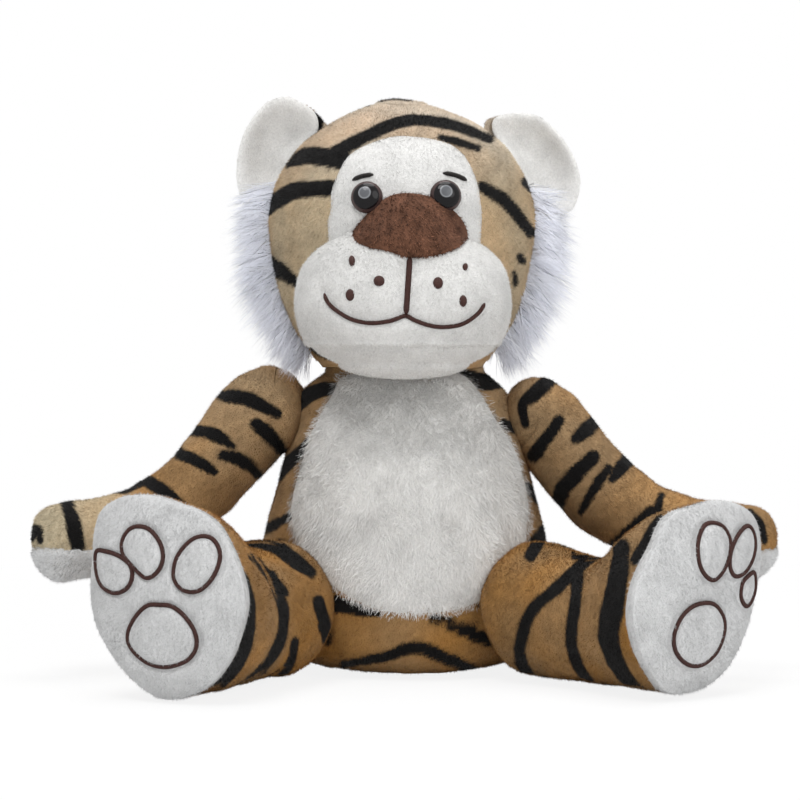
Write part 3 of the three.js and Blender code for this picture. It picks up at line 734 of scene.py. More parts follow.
LEFT_TOES = [
    [(704, 526), (714, 523), (724, 528), (730, 541), (729, 556), (723, 571), (714, 580), (705, 575),
     (699, 562), (698, 542)],
    [(747, 526), (753, 532), (755, 545), (752, 560), (744, 573), (735, 576), (730, 567), (731, 551),
     (738, 535)],
    [(754, 573), (755, 588), (751, 601), (746, 606), (741, 598), (742, 584), (748, 576)],
    [(705, 603), (716, 606), (724, 620), (723, 637), (715, 654), (701, 665), (687, 664), (676, 652),
     (674, 636), (681, 618), (692, 607)],
]
MOUTH = [(324, 293), (328, 302), (336, 310), (351, 319), (370, 323), (390, 321), (405, 316), (414, 320),
         (428, 325), (443, 327), (462, 324), (477, 314), (485, 303)]
PHILTRUM = [(410, 256), (408, 285), (406, 315)]
BROWS = [[(352, 180.5), (362, 176.5), (374, 174.5)], [(442.5, 173), (455, 175.5), (467, 180.6)]]
DOTS = [(352, 261, 5, 9), (379, 281, 9, 9), (350, 295, 7, 10), (465, 267, 4, 6), (438, 283, 8, 10),
        (463, 301, 6, 10)]
EYES = {"right": (367.0, 197.5), "left": (445.4, 196.0)}


def back_stripes(left, right, top, bottom, count, half, seed):
    """Stripes for a back that the photograph hides: bands that run in from each side and taper."""
    draw = np.random.default_rng(seed)
    middle = (left + right) / 2
    strokes = []
    for k in range(count):
        y = top + (bottom - top) * (k + 0.5) / count
        for side, edge in ((1, right), (-1, left)):
            end = middle + side * draw.uniform(-6, 26)
            sag = draw.uniform(4, 16)
            start = y + draw.uniform(-8, 8)
            strokes.append([(edge, start, half), ((edge * 2 + end) / 3, start + sag * 0.7, half * 1.1),
                            ((edge + 2 * end) / 3, start + sag, half), (end, start + sag * 0.7, half * 0.2)])
    return strokes


def tan_cloth(points, jitter):
    """Ground colour of the tan plush. Patches where the nap lies another way are lighter or deeper.
    The colour shifts over stretches of height, in millimetres: paler from the upper torso to the head
    and its top, which is painted top light and sheen, and deeper near the floor. The right paw is
    painted paler too, as the sheen of its pile."""
    tone = 1 + 0.18 * waves(points, 38, 3) + 0.09 * waves(points, 7, 4) + 0.10 * waves(points, 2.4, 6)
    tone = tone + 0.06 * jitter
    warm = np.clip(0.5 + 0.9 * waves(points, 42, 5), 0, 1)[:, None]
    z = points[:, 2:]
    # Painted top light and sheen: paler from the upper torso up to the top of the head. Painted sheen: a
    # paler right paw.
    high, head = np.clip((z - 100) / 40, 0, 1), np.clip((z - 132) / 20, 0, 1)
    crown_light, low = np.clip((z - 195) / 35, 0, 1), np.clip((90 - z) / 50, 0, 1)
    paw = np.clip((-108 - points[:, :1]) / 14, 0, 1)
    base = np.asarray(coat().tan) * (1 + warm * [0.10, -0.05, -0.28] + high * [0.02, 0.11, 0.26]
                                     + head * [0.35, 0.56, 0.87] + crown_light * [0.00, 0.14, 0.68]
                                     - low * [0.13, 0.22, 0.36] + paw * [0.50, 0.95, 1.60])
    return np.clip(base * tone[:, None], 0, 1)


BACK_FROM = 8.0  # depth in millimetres behind which the photograph shows nothing
CREST_DEPTH = -5.0  # depth at which the head's outline lies as the camera sees it


def striped(strokes, hidden=(), crest=()):
    """Paint for tan plush with stripes. Behind BACK_FROM the strokes narrow to nothing and the hidden
    strokes take over. The crest strokes lie only along the outline that the camera sees, as lenses."""
    def paint(points, normals, jitter):
        pixels = to_pixels(points)
        wobble = np.stack([waves(points, 9, 11), waves(points, 9, 12)], -1)
        pixels = pixels + 0.8 * wobble + 0.45 * np.stack([jitter, np.roll(jitter, 7)], -1)
        reach = nearest(pixels, strokes)
        if hidden:
            behind = points[:, 1] > BACK_FROM
            fading = reach[behind] + 0.5 * (points[behind, 1] - BACK_FROM)
            reach[behind] = np.minimum(fading, nearest(pixels[behind], hidden))
        if crest:
            off = np.abs(points[:, 1] - CREST_DEPTH)
            edge = off < 14
            lens = nearest(pixels[edge], crest) + 0.8 * np.maximum(off[edge] - 1.5, 0)
            reach[edge] = np.minimum(reach[edge], lens)
        return blend_colours(np.clip(1.45 - reach / 1.6, 0, 1), tan_cloth(points, jitter), coat().stripe)
    return paint


def plain(tint, shade=1.0):
    """Paint for cloth of one colour with a faint mottle, times a shade: above 1 it is painted light, below 1
    painted shade.
    """
    def paint(points, normals, jitter):
        tone = 1 + 0.05 * waves(points, 20, 21)
        return np.asarray(tint) * shade * tone[:, None]
    return paint


def ringed(origin, along, rings, seed):
    """Paint for a level limb striped round its length. Each ring is its place along the limb, its half
    width, the angle at which it is widest, the share of the way round that it goes and its slant."""
    along = unit(np.asarray(along, float))
    top = np.array([0.0, 0.0, 1.0])
    side = np.cross(along, top)

    def paint(points, normals, jitter):
        local = points - origin
        t = local @ along + 1.2 * waves(points, 12, seed) + 0.35 * jitter
        angle = np.arctan2(local @ side, local @ top)
        share = np.zeros(len(points))
        for place, half, widest, wrap, slant in rings:
            turn = (angle - widest + np.pi) % (2 * np.pi) - np.pi
            width = half * np.clip(1 - (np.abs(turn) / (np.pi * wrap)) ** 3, -1, 1)
            reach = np.abs(t - place - slant * np.sin(turn)) - width
            share = np.maximum(share, np.clip(0.5 - reach * 1.4, 0, 1) * (width > 0.05))
        return blend_colours(share, tan_cloth(points, jitter), coat().stripe)
    return paint


# Materials

def add_node(tree, kind, inputs=None, **settings):
    """A shader node with its settings and the values of its inputs."""
    node = tree.nodes.new(kind)
    for key, value in settings.items():
        setattr(node, key, value)
    for key, value in (inputs or {}).items():
        node.inputs[key].default_value = value
    return node


def connect(tree, *links):
    """Links each output of a pair to its input."""
    for source, goal in links:
        tree.links.new(source, goal)


def effect(name, build):
    """A shared node group that puts out Tone and Height, made once."""
    group = bpy.data.node_groups.get(name)
    if group is None:
        group = bpy.data.node_groups.new(name, "ShaderNodeTree")
        for label in ("Tone", "Height"):
            group.interface.new_socket(name=label, in_out="OUTPUT", socket_type="NodeSocketFloat")
        place = group.nodes.new("ShaderNodeTexCoord")
        end = group.nodes.new("NodeGroupOutput")
        build(group, place.outputs["Object"], end)
    return group


def noise_between(tree, place, size, low, high, detail=3.0):
    """Noise of a feature size in millimetres, mapped to run from low to high."""
    noise = add_node(tree, "ShaderNodeTexNoise", {"Scale": 1 / (size * MM), "Detail": detail})
    tree.links.new(place, noise.inputs["Vector"])
    spread = add_node(tree, "ShaderNodeMapRange", {"From Min": 0.3, "From Max": 0.7, "To Min": low,
                                                   "To Max": high})
    tree.links.new(noise.outputs["Fac"], spread.inputs["Value"])
    return spread.outputs["Result"]


def cloth_effect():
    """Tone: soft light and dark of trodden pile. Height: the fine grain between strands."""
    def build(tree, place, end):
        product = add_node(tree, "ShaderNodeMath", operation="MULTIPLY")
        connect(tree, (noise_between(tree, place, 9, 0.93, 1.05), product.inputs[0]),
                (noise_between(tree, place, 0.8, 0.92, 1.07), product.inputs[1]),
                (product.outputs[0], end.inputs["Tone"]),
                (noise_between(tree, place, 0.5, 0, 1), end.inputs["Height"]))
    return effect("Trodden Pile", build)


def weave_effect():
    """Tone: threads a little lighter and darker. Height: narrow bands of thread, bent by noise."""
    def build(tree, place, end):
        wave = add_node(tree, "ShaderNodeTexWave", {"Scale": 1 / (2.2 * MM), "Distortion": 3.0,
                                                    "Detail": 2.0})
        connect(tree, (place, wave.inputs["Vector"]), (wave.outputs["Fac"], end.inputs["Height"]),
                (noise_between(tree, place, 0.9, 0.8, 1.25), end.inputs["Tone"]))
    return effect("Spun Thread", build)


def plastic_effect():
    """Tone: almost even. Height: very shallow moulding waves."""
    def build(tree, place, end):
        connect(tree, (noise_between(tree, place, 5, 0.97, 1.03), end.inputs["Tone"]),
                (noise_between(tree, place, 3, 0, 1), end.inputs["Height"]))
    return effect("Moulded Plastic", build)


RELIEF = 0.4  # height of the fine relief of cloth, thread and plastic, in millimetres


def material(name, group, rough, sheen=0.0, bump=0.0, tint=None, specular=0.5):
    """A Principled material. Its colour is the piece's coat attribute, or a plain tint, times the
    group's Tone, and its bump is the group's Height."""
    made = bpy.data.materials.get(name)
    if made is not None:
        return made
    made = bpy.data.materials.new(name)
    made.use_nodes = True
    tree = made.node_tree
    shader = tree.nodes["Principled BSDF"]
    shader.inputs["Roughness"].default_value = rough
    shader.inputs["Sheen Weight"].default_value = sheen
    shader.inputs["Specular IOR Level"].default_value = specular
    pattern = add_node(tree, "ShaderNodeGroup", node_tree=group)
    mix = add_node(tree, "ShaderNodeVectorMath", operation="SCALE")
    if tint is None:
        source = add_node(tree, "ShaderNodeAttribute", attribute_name="coat")
        tree.links.new(source.outputs["Color"], mix.inputs[0])
    else:
        mix.inputs[0].default_value = tuple(tint)
    tree.links.new(pattern.outputs["Tone"], mix.inputs["Scale"])
    tree.links.new(mix.outputs["Vector"], shader.inputs["Base Color"])
    if bump:
        relief = add_node(tree, "ShaderNodeBump", {"Strength": bump, "Distance": RELIEF * MM})
        tree.links.new(pattern.outputs["Height"], relief.inputs["Height"])
        tree.links.new(relief.outputs["Normal"], shader.inputs["Normal"])
    made.diffuse_color = tuple(tint or coat().tan) + (1.0,)
    return made


# Finishes of the pieces

def plush():
    return material("Short Plush", cloth_effect(), 0.9, sheen=0.05, bump=0.5, specular=0.12)


def shaggy():
    return material("White Shag", cloth_effect(), 0.85, sheen=0.05, bump=0.3, specular=0.15)


def long_fur():
    return material("Long Fur", cloth_effect(), 0.6, sheen=0.35, bump=0.0, specular=0.4)


def floss():
    return material("Floss", weave_effect(), 0.6, sheen=0.03, bump=0.35, specular=0.25)


def safety_plastic():
    return material("Eye Plastic", plastic_effect(), 0.1, bump=0.02, specular=0.22)


def washer_plastic():
    return material("Washer Plastic", plastic_effect(), 0.4, bump=0.05, tint=(0.72, 0.73, 0.72))


def fibre():
    return material("Loose Fibre", cloth_effect(), 0.9, sheen=0.3, bump=1.0, tint=(0.82, 0.82, 0.80))


def cotton():
    return material("Bag Cotton", weave_effect(), 0.85, sheen=0.1, bump=0.4, tint=(0.72, 0.69, 0.62))


# Forms of the stuffed parts, in millimetres

NECK_HEIGHT = 123.5
NECK_RADIUS = 33
NECK_RISE = 14
MUZZLE_DEPTH = -42


def upright(rows, depth_at, start_cap, end_cap, inset=0.0, **shape):
    """A form round an upright path at a depth. Each row is height, half width, back and front reach,
    all less the inset."""
    stations = [(0, depth_at, z, half - inset, half - inset, back - inset, front - inset)
                for z, half, back, front in rows]
    return swell(stations, (1, 0, 0), start_cap, end_cap, **shape)


def torso_form(inset=0.0):
    """A pear that sits on a flattened seat and ends in the neck's dome, with shallow wrinkles."""
    rows = [(26, 56.6, 43.7, 49.5), (50, 59, 46, 51), (80, 52, 41.4, 47.9), (104, 45.4, 34, 37.7),
            (115.5, 42.5, 30.4, 31), (NECK_HEIGHT, NECK_RADIUS, 27, 27)]
    form = upright(rows, 0, 25.6 - inset, NECK_RISE - inset, inset, start_share=0.62, rings=110, sides=150)
    wrinkle = 0.7 * waves(form.points, 34, 31) + 0.3 * waves(form.points, 14, 32)
    return form.push(wrinkle)


def head_form(inset=0.0):
    """A ball, a little deeper than half its width either way, hollow below where the neck enters it."""
    rows = [(125.5, 33), (134, 39), (142.5, 45), (154.5, 50), (169, 53.2), (184, 54.8), (196, 53.8),
            (207, 49.3), (216, 43), (222.5, 35.8), (227.4, 27.8), (231.2, 19), (233.9, 10.5)]
    stations = [(z, half, 0.95 * half, 0.95 * half) for z, half in rows]
    form = upright(stations, -4, -12 + inset, 2.3 - inset, inset, rings=130, sides=160)
    form.points[:, 0] -= 1.3
    return form.push(0.6 * waves(form.points, 30, 33))


def crease(pixels, strokes, spread):
    """1 on the strokes, falling to nothing over a spread in pixels on each side of them."""
    return np.exp(-(np.maximum(nearest(pixels, strokes), 0) / spread) ** 2)


def muzzle_form(inset=0.0):
    """The upper muzzle: two lobes drawn in along the mouth and the line under the nose."""
    rows = [(137.5, 40, 26, 32), (142, 42, 26, 34), (150, 43.5, 26, 34.8), (158, 43, 26, 33.5),
            (167, 40, 25, 30.5), (174, 34, 24, 27.5), (179, 27, 22, 23)]
    form = upright(rows, MUZZLE_DEPTH, 3.5 - inset, 4 - inset, inset, start_share=0.45, rings=100, sides=160)
    form.points[:, 0] -= 0.9
    pixels = to_pixels(form.points)
    front = np.clip((-50 - form.points[:, 1]) / 8, 0, 1)
    groove = 1.7 * crease(pixels, [wide(PHILTRUM, 0)], 8) + 1.1 * crease(pixels, [wide(MOUTH, 0)], 6)
    lobes = sum(np.exp(-((pixels - spot) ** 2).sum(1) / 2 / 24 ** 2) for spot in ((352, 285), (460, 286)))
    return form.push(front * (1.4 * lobes - groove) + 0.3 * waves(form.points, 18, 34))


def chin_form():
    """The chin panel under the mouth, which meets the muzzle in a flat seam."""
    rows = [(128, 26.5, 22, 20.5), (132.5, 34.8, 25, 27.3), (137, 38.3, 26, 30.2)]
    form = upright(rows, MUZZLE_DEPTH, 6, 1.6, end_share=0.5, rings=40, sides=140)
    form.points[:, 0] -= 0.5
    return form


def coarse(form):
    """The form with every second ring and side left out, for what lies out of sight."""
    inner = form.points[1:-1].reshape(form.rows - 2, form.sides, 3)[::2, ::2]
    ends = [np.tile(form.points[k], (1, inner.shape[1], 1)) for k in (0, -1)]
    return facing_out(Form(np.concatenate([ends[0], inner, ends[1]])))


def clear_of_neck(form, room):
    """Lifts a form out of the space over the torso's neck, round which the head turns: a dome of
    height (rise + room) * sqrt(1 - away ** 2), where away is 1 at the neck's radius plus the room."""
    away = np.linalg.norm(form.points[:, :2], axis=1) / (NECK_RADIUS + room)
    roof = NECK_HEIGHT + (NECK_RISE + room) * np.sqrt(np.clip(1 - away ** 2, 0, 1))
    form.points[:, 2] = np.where(away < 1, np.maximum(form.points[:, 2], roof), form.points[:, 2])
    return form


def wide(line, half):
    """A line of pixels as a stroke of even half width."""
    return [(x, y, half) for x, y in line]


PAW_PAINTED_SHADE = (0.90, 0.91, 0.93)  # palms and soles are painted a tenth darker than the face as painted shade, and a little bluer

ARM_PATHS = {
    1: [(-9, 0, -1, 15.5), (-1, 0, -5, 17), (11, -3, -20.5, 17), (26, -6, -36, 16.4), (45, -13, -47, 15.7),
        (63, -22, -50.5, 15), (78, -30, -51.5, 15)],
    -1: [(-8, 0, 1, 17.6), (1, 0, -0.8, 18.2), (13, -3, -16, 16.8), (27, -6, -30.5, 16), (42, -11, -42, 15.7),
         (60, -20, -48.5, 15.4), (79, -30, -51, 15.4)],
}


def arm_form(side, inset=0.0):
    """An arm from the shoulder out and down to the paw, a little forward. Each station is its place
    out, along Y and up from the shoulder, and its radius."""
    shoulder = pivot(SIDES[side] + "_arm_raise")
    stations = [(shoulder[0] + side * out, shoulder[1] + y, shoulder[2] + z, *[radius - inset] * 4)
                for out, y, z, radius in ARM_PATHS[side]]
    across = np.cross((0, 0, 1), (side * 80, -30, -51))
    form = swell(stations, across, 11 - inset, 12.5 - inset, rings=110, sides=96, end_share=0.85)
    creases = 0.8 * waves(form.points, 22, 35 + side) + 0.3 * waves(form.points, 9, 37 + side)
    return form.push(creases)


def leg_way(side):
    """Hip and level direction of a leg, from the hip to the middle of its sole."""
    hip = pivot(SIDES[side] + "_leg_splay")
    low, high = box("sole_" + SIDES[side])
    way = (low + high) / 2 - hip
    way[2] = 0
    return hip, unit(way)


LEG_LENGTH = 85
HIP_CAPS = {1: 20, -1: 23}
THIGHS = {1: [(28, 24.5, 29), (27.5, 21, 29), (28, 19, 29), (29, 28, 30), (30, 40, 30)],
          -1: [(28, 26, 29), (27.5, 23.5, 29), (28, 24, 29), (29, 31, 30), (30, 40, 30)]}
SOLE_EDGES = {1: LEFT_SOLE_EDGE, -1: RIGHT_SOLE_EDGE}


def on_sole(side, pixels):
    """Where the camera's rays through the pixels meet the plane of a sole, square to its leg."""
    hip, way = leg_way(side)
    place, rays = pixel_rays(pixels)
    return place + rays * (((hip + way * (LEG_LENGTH - 3) - place) @ way) / (rays @ way))[:, None]


def sole_outline(side, angles):
    """Middle of a sole across and up from its leg's path, and its reach at each angle round there."""
    hip, way = leg_way(side)
    across = np.cross((0, 0, 1), way)
    local = on_sole(side, closed_ring(SOLE_EDGES[side], 240)) - hip
    flat = np.stack([local @ across, local[:, 2]], -1)
    middle = (flat.min(0) + flat.max(0)) / 2
    arms = flat - middle
    order = np.argsort(np.arctan2(arms[:, 1], arms[:, 0]))
    turn, reach = np.arctan2(arms[:, 1], arms[:, 0])[order], np.linalg.norm(arms, axis=1)[order]
    return middle, np.interp(angles, turn, reach, period=2 * np.pi)


def leg_form(side, inset=0.0, sides=140):
    """A leg that lies on the ground. A ring at share s of its length blends from the thigh's ellipse
    to the sole's outline by w = 3 x ** 2 - 2 x ** 3, where x runs from 0 to 1 over s from 0.4 to 0.95."""
    hip, way = leg_way(side)
    across = np.cross((0, 0, 1), way)
    a = np.linspace(0, 2 * np.pi, sides, endpoint=False)
    middle, reach = sole_outline(side, a)
    g = np.linspace(0, np.pi / 2, 26, endpoint=False)
    end = LEG_LENGTH - 6
    t = np.concatenate([-HIP_CAPS[side] * np.cos(g), np.linspace(0, end, 100), end + 3 * np.cos(g[::-1])])
    scale = np.concatenate([np.sin(g), np.ones(100), np.sin(g[::-1]) ** 0.5])
    share = np.clip(t / LEG_LENGTH, 0, 1)
    thigh = smooth_through(THIGHS[side], share)
    x = np.clip((share - 0.4) / 0.55, 0, 1)
    w = (3 * x ** 2 - 2 * x ** 3)[:, None]
    up = np.where(np.sin(a) > 0, thigh[:, 1:2], thigh[:, 2:3]) * np.sin(a)
    u = (1 - w) * thigh[:, :1] * np.cos(a) + w * (reach - 0.4) * np.cos(a)
    v = (1 - w) * up + w * (reach - 0.4) * np.sin(a)
    fit = (scale * (1 - inset / 28))[:, None]
    shift = across * middle[0] + np.array([0, 0, middle[1]])
    centre = hip + way * (t * (1 - inset / 80))[:, None] + w * shift
    rings = centre[:, None] + across * (u * fit)[..., None] + np.array([0, 0, 1.0]) * (v * fit)[..., None]
    form = facing_out(Form(rings))
    soft = 1 - np.clip(((form.points - hip) @ way - 60) / 15, 0, 1)
    form.push((0.8 * waves(form.points, 26, 41 + side) + 0.3 * waves(form.points, 10, 43 + side)) * soft)
    form.points[:, 2] = np.maximum(form.points[:, 2], 0.5 + inset)
    return form


def sole_form(side, quilt, rings=70, sides=220):
    """A sole in the plane of its outline. At share r of the way out it stands 6 * (1 - r ** 3.5) + 0.4
    proud, plus the quilting at its place in the photograph."""
    way = leg_way(side)[1]
    ring = closed_ring(SOLE_EDGES[side], sides)
    r = out_to_rim(rings)
    pixels = ring.mean(0) + r[:, None, None] * (ring - ring.mean(0))
    spots = on_sole(side, pixels.reshape(-1, 2)).reshape(rings, sides, 3)
    front = spots + way * (6 * (1 - r ** 3.5) + 0.4)[:, None, None]
    depth = quilt(to_pixels(front.reshape(-1, 3))).reshape(rings, sides) * (1 - r[:, None] ** 10)
    front = front + way * depth[..., None]
    return closed_up(front, (spots - way * 3.5)[::-1][::14])


def tail_form(inset=0.0, start=0.0, end=1.0):
    """A round tail from the back of the seat, along the ground, curled up a little at its end."""
    root = pivot("tail_swing")
    shares = np.linspace(start, end, 6)
    stations = [(root[0], root[1] + 76 * s, root[2] - 6.5 * math.sin(s * 2.6) + 3 * s * s,
                 *[8.5 - 0.6 * s - inset] * 4) for s in shares]
    caps = [8.2 - inset if whole else 1.5 for whole in (start == 0, end == 1)]
    return swell(stations, (1, 0, 0), *caps, rings=60, sides=48)


# Operators, one for each group of like pieces

class TigerOperator:
    """What the tiger's operators share."""
    bl_options = {"REGISTER", "UNDO"}


def short_pile(seed, nap=(0, -0.25, -1), reach=None, **more):
    """The short pile of most of the cloth, with what a piece of it has otherwise."""
    return Pile(coat().pile / MM if reach is None else reach, nap=nap, seed=seed, **more)


def off_floor(root, up):
    """Keeps strands off the floor."""
    return (root[:, 2] > 2.0).astype(float)


class TIGER_OT_torso(TigerOperator, bpy.types.Operator):
    """Builds the torso's striped skin and its white belly panel"""
    bl_idname = "tiger.torso"
    bl_label = "Torso"

    def execute(self, context):
        form = torso_form()
        hidden = back_stripes(268, 528, 385, 660, 7, 6, 51)
        below_neck = lambda root, up: off_floor(root, up) * (root[:, 2] < NECK_HEIGHT + 3.5)
        skin = dress("torso_coat", form, striped(TORSO_STRIPES, hidden), short_pile(61), below_neck)
        settle(skin, "torso", ("torso_skin",), plush())
        belly = panel(form, BELLY_EDGE, rise=2.2, swellness=9, rings=70, sides=240)
        ragged = lambda root, up: inside_share(to_pixels(root), BELLY_EDGE, 5) * 0.9 + 0.1
        shag = Pile(coat().belly_pile / MM, lean=66, nap=(0, -0.2, -1), seed=62, density=coat().density,
                    width=0.3, clump=0.8, spread=0.45, segments=2, curl=0.12)
        # Painted light: the belly's white is 1.17 times the white, to make up for the shade among its long
        # strands.
        piece = dress("belly_panel_pile", belly, plain(coat().white, 1.17), shag, ragged)
        settle(piece, "torso", ("belly_panel",), shaggy())
        return {"FINISHED"}


class TIGER_OT_head(TigerOperator, bpy.types.Operator):
    """Builds the head's striped skin and its white face panel"""
    bl_idname = "tiger.head"
    bl_label = "Head"

    def execute(self, context):
        form = head_form()
        hidden = back_stripes(268, 530, 120, 330, 6, 5.5, 52)
        above_neck = lambda root, up: (root[:, 2] > NECK_HEIGHT + 5.5).astype(float)
        skin = dress("head_coat", form, striped(HEAD_STRIPES, hidden, HEAD_CREST),
                     short_pile(63, nap=(0, 0.5, -1)), above_neck)
        settle(skin, "head", ("head_skin",), plush())
        face = face_panel_form(form)
        piece = dress("face_panel_pile", face, plain(coat().white),
                      short_pile(64, nap=(0.2, -0.1, -1), reach=1.2, width=0.27, lean=70))
        settle(piece, "head", ("face_panel",), plush())
        return {"FINISHED"}


def face_panel_form(form):
    """The white panel let into the front of the head."""
    return panel(form, FACE_EDGE, rise=2.0, swellness=8, rings=56, sides=200)


class TIGER_OT_muzzle(TigerOperator, bpy.types.Operator):
    """Builds the muzzle and the chin panel sewn under it"""
    bl_idname = "tiger.muzzle"
    bl_label = "Muzzle"

    def execute(self, context):
        pile = short_pile(65, nap=(0, 0.3, -1), reach=1.3, width=0.26, lean=64)
        threads = wide(PHILTRUM, 3.4), wide(MOUTH, 2.6)
        clear = lambda root, up: np.clip(nearest(to_pixels(root), threads), 0, 1)
        form = clear_of_neck(muzzle_form(), 2.0)
        piece = dress("muzzle_pile", form, plain(coat().white), pile, clear)
        settle(piece, "head", ("muzzle",), plush())
        piece = dress("chin_pile", clear_of_neck(chin_form(), 3.0), plain(coat().white), pile)
        settle(piece, "head", ("chin_panel",), plush())
        return {"FINISHED"}


class TIGER_OT_nose(TigerOperator, bpy.types.Operator):
    """Builds the brown nose pad"""
    bl_idname = "tiger.nose"
    bl_label = "Nose"

    def execute(self, context):
        def paint(points, normals, jitter):
            tone = 1.1 + 0.34 * waves(points, 7, 71) + 0.16 * waves(points, 2.6, 73) + 0.6 * jitter
            return np.asarray(coat().nose) * np.clip(tone, 0.35, 2.4)[:, None]

        pile = short_pile(66, nap=(0.4, -0.3, -1), reach=1.5, width=0.42, lean=62, clump=1.1, density=2.4)
        piece = dress("nose_pile", nose_form(), paint, pile)
        settle(piece, "head", ("nose",), plush())
        return {"FINISHED"}


def nose_ground():
    """The head, face panel and muzzle as one surface, on which the nose is sewn."""
    head = head_form()
    return loose_form(*joined([head, face_panel_form(head), muzzle_form()]))


def nose_form(rings=50, sides=180, rise=9.0):
    """A pad whose rim lies on the face. Its ground is the second degree surface that fits the rim
    best, drawn to the rim itself by r ** 4, and it stands rise * (1 - r ** 2.4) proud of that."""
    ring = closed_ring(NOSE_EDGE, sides)
    middle = (ring.min(0) + ring.max(0)) / 2
    r = out_to_rim(rings)
    pixels = middle + r[:, None, None] * (ring - middle)
    rim = landed(nose_ground().tree(), ring)[0][:, 1]
    for _ in range(12):
        rim = (np.roll(rim, 1) + 2 * rim + np.roll(rim, -1)) / 4
    u, v = np.moveaxis((pixels - middle) / 60, -1, 0)
    terms = np.stack([np.ones_like(u), u, v, u * u, u * v, v * v], -1)
    fit = np.linalg.lstsq(terms[-1], rim, rcond=None)[0]
    level = terms @ fit
    level = level + (rim - level[-1]) * r[:, None] ** 4
    front = level - rise * (1 - r[:, None] ** 2.4) - 0.8
    back = (level + 5)[::-1][::8]
    return closed_up(on_plane(pixels, front), on_plane(pixels[::-1][::8], back))


def revolved(centre, axis, profile, sides=72):
    """A form turned round an axis: each profile point is a radius and a height along the axis."""
    axis = unit(np.asarray(axis, float))
    side = unit(np.cross(axis, (0, 0, 1)))
    rise = np.cross(side, axis)
    a = np.linspace(0, 2 * np.pi, sides, endpoint=False)
    rim = side * np.cos(a)[:, None] + rise * np.sin(a)[:, None]
    rings = np.array([centre + axis * h + rim * r for r, h in profile])
    return facing_out(Form(rings))


class TIGER_OT_eyes(TigerOperator, bpy.types.Operator):
    """Builds the two domed safety eyes, each with its post, and finishes their washers"""
    bl_idname = "tiger.eyes"
    bl_label = "Eyes"

    def execute(self, context):
        face = face_panel_form(head_form()).tree()
        radius, dome, post = 6.4, 4.2, 1.8
        g = np.linspace(0, np.pi / 2, 40)
        profile = [(radius * math.sin(x), 0.5 + dome * math.cos(x)) for x in g]
        profile += [(radius, 0.0), (radius * 0.9, -0.4), (post, -0.5), (post, -9), (0.8 * post, -9.8),
                    (0, -9.9)]
        around = [[0, 0], [9, 0], [-9, 0], [0, 9], [0, -9]]
        for side, centre in EYES.items():
            spots, normals = landed(face, np.array([centre]) + around)
            axis = unit(normals.mean(0) + [0, -0.8, 0.05])
            place = spots[0] - axis * 0.2
            form = revolved(place, axis, profile)
            piece = dress("eye_" + side, form, eye_paint(place, axis))
            settle(piece, "head", ("eye_" + side,), safety_plastic())
            washer = frame["nodes"]["eye_washer_" + side]
            washer.data.materials.clear()
            washer.data.materials.append(washer_plastic())
        return {"FINISHED"}


def eye_paint(place, axis):
    """Black plastic and a brown ring under its edge, with a painted reflection of a round lamp: a grey
    disc with a pale rim above the middle. Radii are in millimetres."""
    ring, rim, disc = 5.25, 2.5, 2.0
    # The brown ring is the plastic's own; the pale rim and the grey disc are a painted reflection of a lamp.
    ring_tint, glint_rim_tint = (0.06, 0.036, 0.034), (0.25, 0.26, 0.275)
    glint_place = [0.5, 1.3]
    right = unit(np.cross((0, 0, 1.0), -axis))
    up = np.cross(-axis, right)

    def paint(points, normals, jitter):
        local = points - place
        flat = np.stack([local @ right, local @ up], -1)
        r = np.linalg.norm(flat, axis=1)
        off = np.linalg.norm(flat - glint_place, axis=1)
        front = local @ axis > 0
        tint = np.tile(np.asarray(thread().eye), (len(points), 1))
        tint = blend_colours(np.clip(0.5 + (r - ring) * 4, 0, 1) * front, tint, ring_tint)
        tint = blend_colours(np.clip(0.5 - (off - rim) * 5, 0, 1) * front, tint, glint_rim_tint)
        return blend_colours(np.clip(0.5 - (off - disc) * 5, 0, 1) * front, tint, thread().glint)
    return paint


EAR_EDGES = {
    "right": [(315, 113), (300, 102), (285, 96.5), (266, 103), (251, 120), (242, 138), (237, 163), (238, 187),
              (247, 203), (264, 208), (288, 184), (306, 150), (318, 130)],
    "left": [(494, 119), (507, 114), (522, 113), (540, 117), (558, 133), (573, 155), (580, 177), (578, 197),
             (570, 211), (552, 216), (533, 203), (513, 162), (494, 134)],
}
EAR_BACK_EDGES = {
    "right": [(322, 120), (311, 109), (300, 104), (285, 98.5), (267, 105), (253, 121.5), (244, 139),
              (239, 163), (240, 186), (249, 202), (264, 206), (288, 186), (308, 150), (328, 132)],
    "left": [(486, 122), (494, 118), (507, 116), (522, 115), (539, 119), (556, 135), (571, 156), (578, 177),
             (576, 196), (569, 209), (552, 214), (532, 202), (510, 162), (487, 136)],
}
EAR_HOLLOWS = {"right": (281, 152), "left": (536, 158)}
EAR_LEAN = (0.788, 0.616)  # the way out and up from an ear's root to its tip
EAR_BEND = (-1, 11)  # how far from the root along that way the bend starts and ends, in millimetres
EAR_BACK_STRIPES = {
    "right": [[(330, 100, 5), (318, 120, 5), (312, 140, 4)], [(226, 150, 5), (256, 146, 5), (290, 150, 3)],
              [(228, 186, 4), (252, 178, 4), (280, 180, 2)], [(262, 92, 5), (276, 114, 5), (296, 128, 2)]],
    "left": [[(590, 160, 5), (560, 156, 5), (530, 160, 3)], [(590, 196, 4), (566, 188, 4), (540, 190, 2)],
             [(548, 106, 5), (538, 128, 5), (522, 140, 2)]],
}


def on_plane(pixels, depth):
    """Where the camera's ray through each pixel of a grid reaches its depth along Y."""
    place, rays = pixel_rays(pixels.reshape(-1, 2))
    return (place + rays * ((depth.ravel() - place[1]) / rays[:, 1])[:, None]).reshape(*depth.shape, 3)


